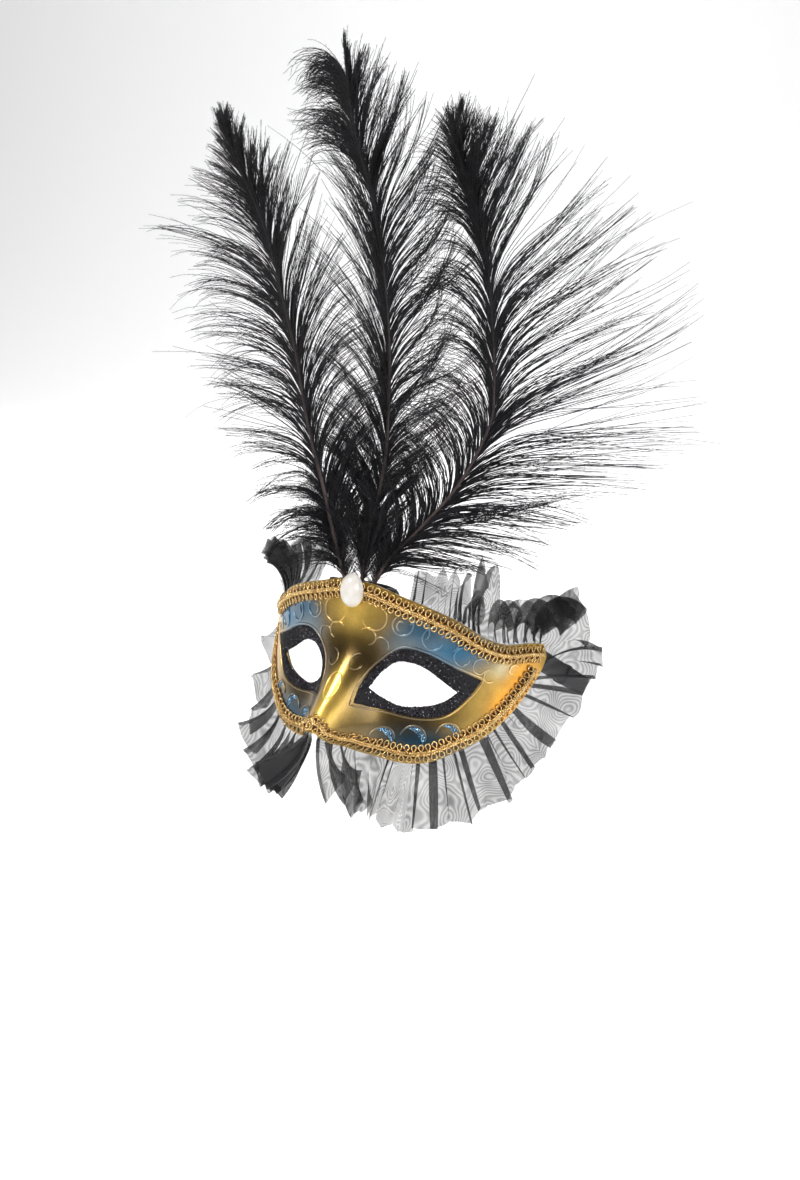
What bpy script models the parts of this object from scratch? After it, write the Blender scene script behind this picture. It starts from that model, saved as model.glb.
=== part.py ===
"""Venetian masquerade half mask: a moulded shell wrapped round the face, trimmed with gimp
braid, glitter eye bands, a pearl, a gathered organza ruffle, three ostrich plumes and two
folded ribbon ties.  Metres, +Z up, the mask faces -Y, +X is the wearer's left side."""
import math
import bpy
import numpy as np
from mathutils import Vector
from mathutils.geometry import delaunay_2d_cdt

MM = 0.001

# ---- driving dimensions ---------------------------------------------------------------
WRAP_HALF_WIDTH = 87.0 * MM      # ellipse that the mask is wrapped round, side to side
WRAP_DEPTH = 84.0 * MM           # the same ellipse, front to back
WRAP_GIRTH_RADIUS = 86.0 * MM    # turns a distance round the face into an angle
PROFILE_LEAN = 0.104             # how far the profile leans forward for each metre down
PATTERN_HALF_GIRTH = 109.0 * MM  # centre line to the outer corner, along the surface
PATTERN_DROP = 81.6 * MM         # top braid line down to the lowest cheek braid line
NOSE_RISE = 26.0 * MM            # how far the nose stands out at the lower edge
NOSE_SPREAD = 14.0 * MM
NOSE_TOP = -26.0 * MM            # height where the nose begins to rise
NOSE_BOTTOM = -60.0 * MM
SOCKET_DEPTH = 8.0 * MM
SOCKET_OUT = 35.0 * MM           # socket centre, out from the middle
SOCKET_DOWN = 47.0 * MM          # socket centre, down from the pearl
SOCKET_WIDE = 18.0 * MM          # reach of the hollow round an eye, sideways
SOCKET_HIGH = 14.0 * MM          # and up and down
EYE_OUT = 36.6 * MM              # middle of an eye opening, out from the nose
EYE_DOWN = 46.7 * MM             # and down from the pearl
SHELL_WALL = 1.2 * MM
LINING_WALL = 0.6 * MM
EYE_LENGTH = 44.0 * MM
EYE_HEIGHT = 23.4 * MM
GLITTER_WALL = 0.7 * MM
BRAID_WIDTH = 9.5 * MM
BRAID_JOINT = 11.0 * MM          # joint of the two low braids, out from the nose
BRAID_WALL = 1.8 * MM
EDGE_MARGIN = 0.8 * MM           # shell edge beyond the braid
RUFFLE_WIDTH = 38.0 * MM
RUFFLE_MARGIN = 7.0 * MM         # part of the ruffle glued inside the shell
RUFFLE_THIN = 0.6 * MM
RUFFLE_FULL = 5.0 * MM
RUFFLE_PAD_CLEAR = 8.0 * MM      # start of a ruffle, past the side of the brow pad
RUFFLE_NOSE_STOP = 21.0 * MM     # end of a ruffle, out from the nose
TAPE_WIDTH = 5.0 * MM
TAPE_WALL = 0.5 * MM
PEARL_WIDTH = 13.0 * MM
PEARL_HEIGHT = 18.0 * MM
PEARL_RISE = 6.5 * MM
QUILL_RADIUS = 1.5 * MM
QUILL_TIP_RADIUS = 0.5 * MM
PLUME_HEIGHT = 250.0 * MM        # middle plume, above the pearl
VANE_WALL = 5.0 * MM
ROOT_DEPTH = 14.0 * MM           # quill roots, below the top edge of the shell
ROOT_PITCH = 5.6 * MM            # one quill root to the next
POCKET_GAP = 2.0 * MM            # free space before and behind the quill roots
PAD_WIDTH = 42.0 * MM
PAD_HEIGHT = 22.0 * MM
PAD_WALL = 3.0 * MM
PAD_RIM = 6.0 * MM
BINDING_WALL = 0.8 * MM
BINDING_WIDTH = 4.0 * MM
ROOT_STRAIGHT = 4.0 * MM         # straight part of a quill above its binding
PLUME_CLEAR = 5.0 * MM           # height over the pearl where the quills start to part
PLUME_PARTED = 60.0 * MM         # and where they have parted
TIP_BEND_START = 170.0 * MM      # height over the pearl where the tips start to bend
TIP_BEND_RUN = 90.0 * MM
DOWN_OUT, DOWN_UP = 27.0 * MM, 30.0 * MM        # middle of the basal down from the pearl
DOWN_HALF = (17.0 * MM, 4.0 * MM, 18.0 * MM)
RIBBON_WIDTH = 10.0 * MM
RIBBON_WALL = 0.5 * MM
RIBBON_RUN = 52.0 * MM           # one folded run
RIBBON_LEAD = 7.0 * MM           # free run before the folded bundle
RIBBON_STACK = 7.0 * MM          # thickness of the folded bundle
RIBBON_FALL = 30.0               # degrees the tie points down
KEEPER_WIDTH = 3.0 * MM
KEEPER_WALL = 0.5 * MM
PATCH_WIDTH = 15.0 * MM
PATCH_HEIGHT = 12.0 * MM
PATCH_WALL = 1.0 * MM
GAP = 0.3 * MM                   # between touching pieces
CURVED_GAP = 0.5 * MM            # between pieces whose facets differ on the curved wall

# ---- where the mask sits: the origin is the middle of the brow pad's rear face -----------
FRONT_OFFSET = SHELL_WALL + 2 * POCKET_GAP + 2 * QUILL_RADIUS + PAD_WALL
PEARL_LEVEL = 8.5 * MM
POCKET_MIDDLE = -(PAD_WALL + POCKET_GAP + QUILL_RADIUS)

# the braid lines of the flat pattern: shares of PATTERN_HALF_GIRTH and PATTERN_DROP
TOP_LINE = [(0, 0.018), (0.085, 0.021), (0.228, 0.074), (0.360, 0.129), (0.492, 0.199),
            (0.630, 0.301), (0.762, 0.360), (0.896, 0.369), (1.0, 0.388)]
LOW_LINE = [(0, 0.748), (0.060, 0.782), (0.107, 0.857), (0.140, 0.896), (0.198, 0.961),
            (0.305, 1.0), (0.432, 0.990), (0.555, 0.920), (0.682, 0.837), (0.814, 0.701),
            (0.917, 0.550), (0.987, 0.439)]
# eye opening about its centre: shares of EYE_LENGTH and EYE_HEIGHT, inner corner first
EYE_UPPER = [(-0.5, -0.10), (-0.41, 0.24), (-0.24, 0.50), (0.0, 0.44), (0.27, 0.13),
             (0.5, -0.10)]
EYE_LOWER = [(0.5, -0.10), (0.33, -0.33), (0.12, -0.46), (-0.16, -0.5), (-0.36, -0.33),
             (-0.5, -0.10)]
# outer edge of the glitter band, in the same shares
BAND_UPPER = [(-0.58, -0.39), (-0.565, 0.03), (-0.43, 0.47), (-0.20, 0.81), (0.09, 0.755),
              (0.46, 0.44), (0.80, 0.19)]
BAND_LOWER = [(0.80, 0.19), (0.66, -0.17), (0.40, -0.60), (0.02, -0.69), (-0.36, -0.56),
              (-0.58, -0.39)]


def smooth_line(points, count):
    """Even points on the Catmull-Rom curve through a list of points."""
    p = np.array(points, float)
    p = np.vstack([2 * p[0] - p[1], p, 2 * p[-1] - p[-2]])
    dense = []
    for k in range(1, len(p) - 2):
        t = np.linspace(0, 1, 40, endpoint=False)[:, None]
        a, b, c, d = p[k - 1], p[k], p[k + 1], p[k + 2]
        dense.append(0.5 * (2 * b + (c - a) * t + (2 * a - 5 * b + 4 * c - d) * t ** 2
                            + (3 * b - a - 3 * c + d) * t ** 3))
    dense = np.vstack(dense + [p[-2:-1]])
    run = np.concatenate([[0], np.cumsum(np.linalg.norm(np.diff(dense, axis=0), axis=1))])
    even = np.linspace(0, run[-1], count)
    return np.column_stack([np.interp(even, run, dense[:, i]) for i in range(dense.shape[1])])


def ease(t):
    """Smooth step from 0 to 1."""
    t = np.clip(t, 0, 1)
    return t * t * (3 - 2 * t)


def side_normals(line):
    """Left-hand unit normals of a flat line."""
    step = np.gradient(line, axis=0)
    step /= np.linalg.norm(step, axis=1)[:, None]
    return np.column_stack([-step[:, 1], step[:, 0]])


# ---- the curved wall ---------------------------------------------------------------------
def wall_middle(s, z):
    """Point of the outer wall: girth distance s round an ellipse, height z, with the lean,
    the nose ridge and the two eye sockets added along Y."""
    angle = s / WRAP_GIRTH_RADIUS
    x = WRAP_HALF_WIDTH * np.sin(angle)
    y = WRAP_DEPTH * (1 - np.cos(angle)) + PROFILE_LEAN * z
    rise = np.clip((z - NOSE_TOP) / (NOSE_BOTTOM - NOSE_TOP), 0, 1.2) ** 1.3
    y = y - NOSE_RISE * rise * np.exp(-(x / NOSE_SPREAD) ** 2)
    across = (np.abs(x) - SOCKET_OUT) / SOCKET_WIDE
    down = (z + SOCKET_DOWN) / SOCKET_HIGH
    y = y + SOCKET_DEPTH * np.exp(-across ** 2 - down ** 2)
    return np.stack([x, y - FRONT_OFFSET, z + PEARL_LEVEL], axis=-1)


def wall_normal(s, z):
    """Unit normal of the outer wall, pointing away from the face."""
    d = 0.2 * MM
    along = wall_middle(s + d, z) - wall_middle(s - d, z)
    up = wall_middle(s, z + d) - wall_middle(s, z - d)
    n = np.cross(along, up)
    return n / np.linalg.norm(n, axis=-1, keepdims=True)


def wall_point(s, z, height):
    """Point at a height above the outer wall, below it when negative."""
    s, z = np.asarray(s, float), np.asarray(z, float)
    return wall_middle(s, z) + wall_normal(s, z) * height


# ---- flat pattern lines --------------------------------------------------------------------
def pattern(points, count):
    flat = np.array(points) * [PATTERN_HALF_GIRTH, -PATTERN_DROP]
    return smooth_line(flat, count)


def shifted(line, distance):
    return line + side_normals(line) * distance


EDGE_OUT = BRAID_WIDTH / 2 + EDGE_MARGIN
TOP_BRAID_LINE = pattern(TOP_LINE, 34)
LOW_BRAID_LINE = pattern(LOW_LINE, 44)


def mirrored(line):
    return line * [-1, 1]


def shell_half_outline(inset):
    """Right half of the shell's outline, from the top middle round the corner to the nose."""
    out = EDGE_OUT - inset
    top = shifted(TOP_BRAID_LINE, out)
    low = shifted(LOW_BRAID_LINE, -out)[::-1]
    top[0, 0] = 0
    low[-1, 0] = 0
    corner = (TOP_BRAID_LINE[-1] + LOW_BRAID_LINE[-1]) / 2 + [out, 0]
    return np.vstack([top, corner, low])


def shell_outline():
    half = shell_half_outline(0)
    return np.vstack([half, mirrored(half[1:-1])[::-1]])


def eye_centre():
    return np.array([EYE_OUT, -EYE_DOWN])


def eye_scaled(upper, lower, grow):
    size = np.array([EYE_LENGTH, EYE_HEIGHT])
    up = smooth_line(np.array(upper) * size, 14)
    low = smooth_line(np.array(lower) * size, 14)
    loop = np.vstack([up[:-1], low[:-1]])
    if grow:
        near, far = np.roll(loop, 1, axis=0), np.roll(loop, -1, axis=0)
        step = far - near
        step /= np.linalg.norm(step, axis=1)[:, None]
        loop = loop + np.column_stack([-step[:, 1], step[:, 0]]) * grow
    return loop + eye_centre()


def eye_hole(grow=0.0):
    return eye_scaled(EYE_UPPER, EYE_LOWER, grow)


def glitter_outline():
    return eye_scaled(BAND_UPPER, BAND_LOWER, 0.0)


# ---- solids ------------------------------------------------------------------------------
def new_object(name, vertices, faces, material, smooth=True):
    mesh = bpy.data.meshes.new(name)
    mesh.from_pydata([tuple(v) for v in vertices], [], [tuple(f) for f in faces])
    mesh.validate()
    mesh.update()
    obj = bpy.data.objects.new(name, mesh)
    bpy.context.scene.collection.objects.link(obj)
    mesh.materials.append(material)
    if smooth:
        mesh.shade_smooth()
        mesh.set_sharp_from_angle(angle=math.radians(40))
    return obj


def material(name, colour, roughness, metallic=0.0):
    mat = bpy.data.materials.new(name)
    mat.use_nodes = True
    shader = mat.node_tree.nodes["Principled BSDF"]
    shader.inputs["Base Color"].default_value = (*colour, 1)
    shader.inputs["Roughness"].default_value = roughness
    shader.inputs["Metallic"].default_value = metallic
    return mat


def inside(loop, points):
    """Which points lie inside a closed flat loop."""
    x, y = points[:, 0][:, None], points[:, 1][:, None]
    x0, y0 = loop[:, 0], loop[:, 1]
    x1, y1 = np.roll(x0, -1), np.roll(y0, -1)
    crosses = (y0 > y) != (y1 > y)
    rise = np.where(y1 == y0, 1e-12, y1 - y0)
    at = x0 + (y - y0) * (x1 - x0) / rise
    return (np.sum(crosses & (x < at), axis=1) % 2) == 1


def loop_distance(loop, points):
    """Distance from each point to the nearest edge of a loop."""
    a, b = loop, np.roll(loop, -1, axis=0)
    ab = b - a
    t = np.einsum("pij,ij->pi", points[:, None] - a, ab) / np.sum(ab ** 2, axis=1)
    near = a + np.clip(t, 0, 1)[..., None] * ab
    return np.min(np.linalg.norm(points[:, None] - near, axis=2), axis=1)


def grid_lines():
    """Pattern grid: close together over the nose, wider over the cheeks."""
    fine = np.arange(0, 34 * MM, 2.4 * MM)
    wide = np.arange(fine[-1] + 6 * MM, PATTERN_HALF_GIRTH + 10 * MM, 6 * MM)
    half = np.concatenate([fine, wide])
    return np.concatenate([-half[:0:-1], half]), np.arange(10 * MM, -96 * MM, -5 * MM)


def flat_triangles(outline, holes):
    """Triangles of a flat outline with holes, over the shared pattern grid."""
    across, down = grid_lines()
    grid = np.array([(s, z) for s in across for z in down])
    loops = [outline] + holes
    keep = inside(outline, grid)
    for loop in loops:
        keep &= loop_distance(loop, grid) > 1.1 * MM
    for hole in holes:
        keep &= ~inside(hole, grid)
    points = list(grid[keep])
    edges = []
    for loop in loops:
        first = len(points)
        points += list(loop)
        edges += [(first + k, first + (k + 1) % len(loop)) for k in range(len(loop))]
    flat, _, faces, _, _, _ = delaunay_2d_cdt([Vector(p) for p in points], edges, [], 0, 1e-6)
    flat = np.array([tuple(v) for v in flat])
    faces = np.array([f for f in faces])
    middle = flat[faces].mean(axis=1)
    keep = inside(outline, middle)
    for hole in holes:
        keep &= ~inside(hole, middle)
    faces = faces[keep]
    a, b, c = flat[faces[:, 0]], flat[faces[:, 1]], flat[faces[:, 2]]
    area = (b - a)[:, 0] * (c - a)[:, 1] - (b - a)[:, 1] * (c - a)[:, 0]
    faces[area < 0] = faces[area < 0][:, ::-1]
    used, faces = np.unique(faces, return_inverse=True)
    return flat[used], faces.reshape(-1, 3)


def close_layers(front, back, faces):
    """Closed solid from a front layer and a back layer that share their triangles."""
    count = len(front)
    directed = {(f[i], f[(i + 1) % 3]) for f in faces for i in range(3)}
    rim = [(a, b) for a, b in directed if (b, a) not in directed]
    walls = [(b, a, a + count, b + count) for a, b in sorted(rim)]
    solid = [tuple(f) for f in faces] + [tuple(f[::-1] + count) for f in faces] + walls
    return np.vstack([front, back]), solid


def wall_layer(name, mat, outline, holes, outer, inner):
    """A layer that follows the curved wall between two heights."""
    flat, faces = flat_triangles(outline, holes)
    front = wall_point(flat[:, 0], flat[:, 1], outer)
    back = wall_point(flat[:, 0], flat[:, 1], inner)
    return new_object(name, *close_layers(front, back, faces), mat)


def flat_backed_layer(name, mat, outline, holes, outer, back_y):
    """A layer whose front follows the curved wall and whose back is flat, facing +Y."""
    flat, faces = flat_triangles(outline, holes)
    front = wall_point(flat[:, 0], flat[:, 1], outer)
    back = front.copy()
    back[:, 1] = back_y
    return new_object(name, *close_layers(front, back, faces), mat, smooth=False)


def prism(name, mat, outline, axis_low, axis_high, axis=1):
    """Straight prism of a flat outline along one axis of the part."""
    others = [i for i in range(3) if i != axis]
    count = len(outline)
    vertices = np.zeros((2 * count, 3))
    vertices[:count, others] = outline
    vertices[count:, others] = outline
    vertices[:count, axis] = axis_low
    vertices[count:, axis] = axis_high
    faces = [tuple(range(count)), tuple(range(2 * count - 1, count - 1, -1))]
    faces += [((k + 1) % count, k, count + k, count + (k + 1) % count) for k in range(count)]
    return make_outward(new_object(name, vertices, faces, mat, smooth=False))


def make_outward(obj):
    """Turns the faces outwards when the signed volume is negative."""
    mesh = obj.data
    mesh.calc_loop_triangles()
    v = np.array([tuple(p.co) for p in mesh.vertices])
    t = np.array([tuple(k.vertices) for k in mesh.loop_triangles])
    if np.einsum("ij,ij->i", v[t[:, 0]], np.cross(v[t[:, 1]], v[t[:, 2]])).sum() < 0:
        mesh.flip_normals()
    return obj


def closed_grid(name, mat, front, back):
    """Closed solid between two grids of points of the same shape."""
    rows, cols = front.shape[:2]
    index = np.arange(rows * cols).reshape(rows, cols)
    quads = [(index[i, j], index[i + 1, j], index[i + 1, j + 1], index[i, j + 1])
             for i in range(rows - 1) for j in range(cols - 1)]
    ring = list(index[0, :]) + list(index[1:, -1]) + list(index[-1, -2::-1])
    ring += list(index[-2:0:-1, 0])
    count = rows * cols
    faces = quads + [tuple(count + k for k in q[::-1]) for q in quads]
    faces += [(ring[k], ring[(k + 1) % len(ring)], ring[(k + 1) % len(ring)] + count,
               ring[k] + count) for k in range(len(ring))]
    points = np.vstack([front.reshape(-1, 3), back.reshape(-1, 3)])
    return make_outward(new_object(name, points, faces, mat))


def tapered_tube(name, mat, line, radii, sides=8):
    """Round tube along a line, each ring square to it, with closed ends."""
    step = np.gradient(line, axis=0)
    step /= np.linalg.norm(step, axis=1)[:, None]
    across = np.cross(step, [0.0, 1.0, 0.0])
    across /= np.linalg.norm(across, axis=1)[:, None]
    other = np.cross(step, across)
    turn = np.arange(sides) * 2 * math.pi / sides
    ring = np.cos(turn)[None, :, None] * across[:, None] + np.sin(turn)[None, :, None] * other[:, None]
    points = line[:, None] + ring * np.asarray(radii)[:, None, None]
    rows = len(line)
    index = np.arange(rows * sides).reshape(rows, sides)
    faces = [(index[i, j], index[i, (j + 1) % sides], index[i + 1, (j + 1) % sides], index[i + 1, j])
             for i in range(rows - 1) for j in range(sides)]
    faces += [tuple(index[0, ::-1]), tuple(index[-1])]
    return make_outward(new_object(name, points.reshape(-1, 3), faces, mat))


def for_sides(make):
    """Runs a maker for the right-hand piece (+1) and its mirror image (-1)."""
    for word, side in (("right", 1), ("left", -1)):
        make(word, side)


def sided(loop, side):
    return loop if side > 0 else mirrored(loop)[::-1]


# ---- the shell and what lines it ----------------------------------------------------------
def pad_centre():
    return -PEARL_LEVEL


def make_shell():
    mat = material("painted_shell", (0.62, 0.47, 0.20), 0.32, 0.85)
    holes = [eye_hole(), mirrored(eye_hole())[::-1]]
    wall_layer("mask_shell", mat, shell_outline(), holes, 0.0, -SHELL_WALL)


def make_lining():
    """Flocked lining inside the ruffle margin, notched for the brow pad."""
    mat = material("black_flock", (0.018, 0.017, 0.018), 0.95)
    inset = EDGE_MARGIN + RUFFLE_MARGIN + 1.6 * MM
    half = shell_half_outline(inset)
    corner = PATTERN_HALF_GIRTH - 24 * MM
    half = half[half[:, 0] < corner]
    notch_out = PAD_WIDTH / 2 + 2 * GAP
    notch_low = pad_centre() - PAD_HEIGHT / 2 - 2 * GAP
    top = half[(half[:, 1] > -40 * MM) & (half[:, 0] > notch_out + GAP)]
    low = half[half[:, 1] <= -40 * MM]
    right = np.vstack([[(0, notch_low), (notch_out, notch_low)], top, low])
    loop = np.vstack([right, mirrored(right[1:-1])[::-1]])
    grow = 0.8 * MM
    holes = [eye_hole(grow), mirrored(eye_hole(grow))[::-1]]
    outer = -SHELL_WALL - GAP
    wall_layer("back_lining", mat, loop, holes, outer, outer - LINING_WALL)


def make_glitter(word, side):
    mat = material("glitter_" + word, (0.012, 0.011, 0.014), 0.45, 0.2)
    hole = eye_hole(0.4 * MM)
    wall_layer("eye_glitter_band_" + word, mat, sided(glitter_outline(), side),
               [sided(hole, side)], GAP + GLITTER_WALL, GAP)


# ---- braid ----------------------------------------------------------------------------------
def band_loop(line, width):
    """Closed outline of a band of constant width about a line."""
    return np.vstack([shifted(line, width / 2), shifted(line, -width / 2)[::-1]])


def braid_top_loop():
    line = TOP_BRAID_LINE.copy()
    line[0, 0] = GAP
    return band_loop(line, BRAID_WIDTH)


def low_braid_line(reach):
    """Low braid line from the corner to a point past the nose (reach below zero)."""
    over = mirrored(LOW_BRAID_LINE)[1:][LOW_BRAID_LINE[1:, 0] < -reach + 1e-6]
    half = LOW_BRAID_LINE[:-2][::-1]
    if reach < 0:
        return np.vstack([half, over])
    return half[half[:, 0] > reach]


def make_braids():
    mat = material("gimp_braid", (0.80, 0.55, 0.18), 0.38, 0.7)
    top = braid_top_loop()
    long_low = band_loop(low_braid_line(-BRAID_JOINT), BRAID_WIDTH)
    short_low = band_loop(low_braid_line(BRAID_JOINT + BRAID_WIDTH * 0.55), BRAID_WIDTH)
    pieces = [("braid_top_right", top), ("braid_top_left", mirrored(top)),
              ("braid_low_right", long_low), ("braid_low_left", mirrored(short_low))]
    for name, loop in pieces:
        wall_layer(name, mat, loop, [], CURVED_GAP + BRAID_WALL, CURVED_GAP)


def make_pearl():
    """Flat-backed oval pearl, half an ellipsoid, glued over the braid's middle joint."""
    mat = material("pearl", (0.90, 0.87, 0.80), 0.22)
    back = -FRONT_OFFSET - CURVED_GAP - BRAID_WALL - 1.3 * MM
    rings, sides = 7, 24
    tilt = np.linspace(0, math.pi / 2, rings)[:-1]
    turn = np.arange(sides) * 2 * math.pi / sides
    x = PEARL_WIDTH / 2 * np.cos(tilt)[:, None] * np.cos(turn)
    z = PEARL_HEIGHT / 2 * np.cos(tilt)[:, None] * np.sin(turn) + PEARL_LEVEL
    y = back - PEARL_RISE * np.sin(tilt)[:, None] * np.ones(sides)
    points = np.vstack([np.stack([x, y, z], axis=-1).reshape(-1, 3),
                        [(0, back - PEARL_RISE, PEARL_LEVEL)]])
    index = np.arange((rings - 1) * sides).reshape(rings - 1, sides)
    faces = [(index[i, j], index[i, (j + 1) % sides], index[i + 1, (j + 1) % sides], index[i + 1, j])
             for i in range(rings - 2) for j in range(sides)]
    top = len(points) - 1
    faces += [(index[-1, j], index[-1, (j + 1) % sides], top) for j in range(sides)]
    faces.append(tuple(index[0, ::-1]))
    make_outward(new_object("pearl_cabochon", points, faces, mat))


# ---- ruffle -----------------------------------------------------------------------------------
def ruffle_base():
    """Glued line of one ruffle and the way each of its pleats points: (s, z) points along
    the shell edge, an angle in degrees in the flat pattern, and a flare off the wall."""
    edge = shell_half_outline(0.0)
    start = np.argmax(edge[:, 0] > PAD_WIDTH / 2 + RUFFLE_PAD_CLEAR)
    stop = len(edge) - np.argmax(edge[::-1, 0] > RUFFLE_NOSE_STOP)
    line = smooth_line(edge[start:stop], 46)
    share = np.linspace(0, 1, len(line))
    angle = np.interp(share, [0, 0.30, 0.44, 0.52, 0.62, 0.80, 1.0],
                      [88, 62, 50, 0, -40, -66, -100])
    flare = np.interp(share, [0, 0.30, 0.52, 0.70, 1.0], [-32, -12, 12, -4, -14])
    return line, np.radians(angle), np.radians(flare)


def ruffle_grid(height_in, height_out):
    """Ruffle surface: glued flat inside the shell edge, then straight out past it."""
    line, angle, flare = ruffle_base()
    way = np.column_stack([np.cos(angle), np.sin(angle)])
    inward = -side_normals(line) * np.sign(np.sum(side_normals(line) * way, axis=1))[:, None]
    glued = [line + inward * RUFFLE_MARGIN, line + inward * RUFFLE_MARGIN / 2,
             line + inward * EDGE_MARGIN]
    rows = [wall_point(g[:, 0], g[:, 1], height_in) for g in glued]
    base = rows[-1]
    normal = wall_normal(glued[-1][:, 0], glued[-1][:, 1])
    step = 0.5 * MM
    out = wall_point(*(glued[-1] + way * step).T, height_in) - base
    out /= np.linalg.norm(out, axis=1)[:, None]
    out = out * np.cos(flare)[:, None] + normal * np.sin(flare)[:, None]
    for share in (0.25, 0.5, 0.75, 1.0):
        lift = (height_out - height_in) * ease(share * 2)
        rows.append(base + out * (EDGE_MARGIN + RUFFLE_WIDTH * share) + normal * lift)
    return np.stack(rows, axis=1)


def make_ruffle(word, side):
    mat = material("organza_" + word, (0.03, 0.03, 0.035), 0.55)
    top = -SHELL_WALL - CURVED_GAP
    front = ruffle_grid(top, top + RUFFLE_FULL / 2)
    back = ruffle_grid(top - RUFFLE_THIN, top - RUFFLE_THIN - RUFFLE_FULL / 2)
    mirror = np.array([side, 1, 1])
    closed_grid("organza_ruffle_" + word, mat, front * mirror, back * mirror)


def make_heading(word, side):
    """Stitched tape that holds the gathers of the ruffle."""
    mat = material("gather_tape_" + word, (0.02, 0.02, 0.022), 0.8)
    line = ruffle_base()[0][3:-2]
    inward = -side_normals(line)
    middle = line + inward * (EDGE_MARGIN + 0.6 * MM + TAPE_WIDTH / 2)
    loop = band_loop(middle, TAPE_WIDTH)
    outer = -SHELL_WALL - 2 * CURVED_GAP - RUFFLE_THIN
    wall_layer("gather_tape_" + word, mat, sided(loop, side), [], outer, outer - TAPE_WALL)


# ---- brow pad ------------------------------------------------------------------------------------
def rounded_box(half_width, low, high, radius):
    """Flat outline of a box with round corners, counter-clockwise."""
    turn = np.radians(np.linspace(0, 90, 5))
    corners = [(half_width - radius, high - radius, 0), (-half_width + radius, high - radius, 90),
               (-half_width + radius, low + radius, 180), (half_width - radius, low + radius, 270)]
    points = [np.column_stack([x + radius * np.cos(turn + math.radians(a)),
                               z + radius * np.sin(turn + math.radians(a))]) for x, z, a in corners]
    return np.vstack(points)


def make_brow_pad():
    """Felt cover over the quill roots, on a U-shaped foam spacer that is open at the top."""
    felt = material("brow_felt", (0.02, 0.02, 0.022), 0.95)
    foam = material("brow_foam", (0.03, 0.03, 0.032), 0.9)
    half, reach = PAD_WIDTH / 2, PAD_HEIGHT / 2
    prism("brow_pad", felt, rounded_box(half, -reach, reach, 4 * MM), -PAD_WALL, 0.0)
    low, high = pad_centre() - reach, pad_centre() + reach
    slot = half - PAD_RIM
    loop = np.array([(-half + 1 * MM, high), (-half, low + 3 * MM), (-half + 3 * MM, low), (0, low),
                     (half - 3 * MM, low), (half, low + 3 * MM), (half - 1 * MM, high),
                     (slot, high), (slot, low + PAD_RIM + 1 * MM), (slot - 1 * MM, low + PAD_RIM),
                     (-slot + 1 * MM, low + PAD_RIM), (-slot, low + PAD_RIM + 1 * MM),
                     (-slot, high)])
    flat_backed_layer("brow_pad_spacer", foam, loop, [], -SHELL_WALL - GAP, -PAD_WALL - GAP)


# ---- plumes ------------------------------------------------------------------------------------
# Quill lines from the pearl level: (x, z) in shares of PLUME_HEIGHT, lowest first.
QUILLS = {
    "left": [(-0.045, 0.02), (-0.071, 0.11), (-0.094, 0.213), (-0.122, 0.288),
             (-0.152, 0.383), (-0.172, 0.461), (-0.210, 0.562), (-0.264, 0.702), (-0.345, 0.861),
             (-0.372, 0.940)],
    "middle": [(0.002, 0.03), (0.013, 0.123), (0.026, 0.206), (0.034, 0.286),
               (0.030, 0.386), (0.020, 0.50), (-0.004, 0.624), (-0.040, 0.770), (-0.086, 0.90),
               (-0.112, 1.02)],
    "right": [(0.034, 0.02), (0.066, 0.076), (0.113, 0.132), (0.192, 0.239),
              (0.241, 0.351), (0.243, 0.421), (0.221, 0.553), (0.199, 0.637), (0.163, 0.742),
              (0.100, 0.86), (0.066, 0.94)],
}
# How far each plume stands back: rise near the root, steady lean, bend near the tip.
SETBACK = {"left": (-6.0, 0.03, -10.0), "middle": (3.0, 0.06, -8.0), "right": (10.0, 0.12, 4.0)}
# Each vane: barb length in shares of PLUME_HEIGHT and barb angle in degrees, root to tip.
VANES = {
    ("left", "outer"): ([0.20, 0.34, 0.36, 0.30, 0.20, 0.09], [178, 168, 160, 150, 140, 125]),
    ("left", "inner"): ([0.06, 0.13, 0.17, 0.16, 0.11, 0.05], [72, 70, 68, 72, 84, 100]),
    ("middle", "outer"): ([0.07, 0.20, 0.28, 0.28, 0.19, 0.09], [140, 132, 124, 122, 128, 130]),
    ("middle", "inner"): ([0.06, 0.15, 0.22, 0.24, 0.18, 0.08], [40, 40, 44, 52, 66, 82]),
    ("right", "outer"): ([0.34, 0.44, 0.41, 0.34, 0.24, 0.10], [2, 14, 28, 44, 60, 78]),
    ("right", "inner"): ([0.06, 0.14, 0.16, 0.15, 0.12, 0.06], [128, 122, 118, 120, 124, 116]),
}
VANE_START = 0.22


def plume_depth(which, z):
    """Depth of a plume at a height above the pearl."""
    near, lean, bend = SETBACK[which]
    above = np.maximum(z - PLUME_PARTED, 0)
    parted = ease((z - PLUME_CLEAR) / (PLUME_PARTED - PLUME_CLEAR))
    return (POCKET_MIDDLE + near * MM * parted + lean * above
            + bend * MM * ease((z - TIP_BEND_START) / TIP_BEND_RUN))


def quill_line(which, count=30):
    """Quill from its root in the pocket to its tip, as points of the part."""
    order = {"left": -1, "middle": 0, "right": 1}[which]
    root = np.array([order * ROOT_PITCH, shell_top() - ROOT_DEPTH - PEARL_LEVEL])
    bound = root + [0, BINDING_WIDTH + ROOT_STRAIGHT]
    free = smooth_line(np.vstack([bound, np.array(QUILLS[which]) * PLUME_HEIGHT]), count - 1)
    flat = np.vstack([root, free])
    y = plume_depth(which, flat[:, 1])
    return np.column_stack([flat[:, 0], y, flat[:, 1] + PEARL_LEVEL])


def shell_top():
    """Height of the shell's top edge at the middle."""
    return PEARL_LEVEL + TOP_BRAID_LINE[0, 1] + EDGE_OUT


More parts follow.
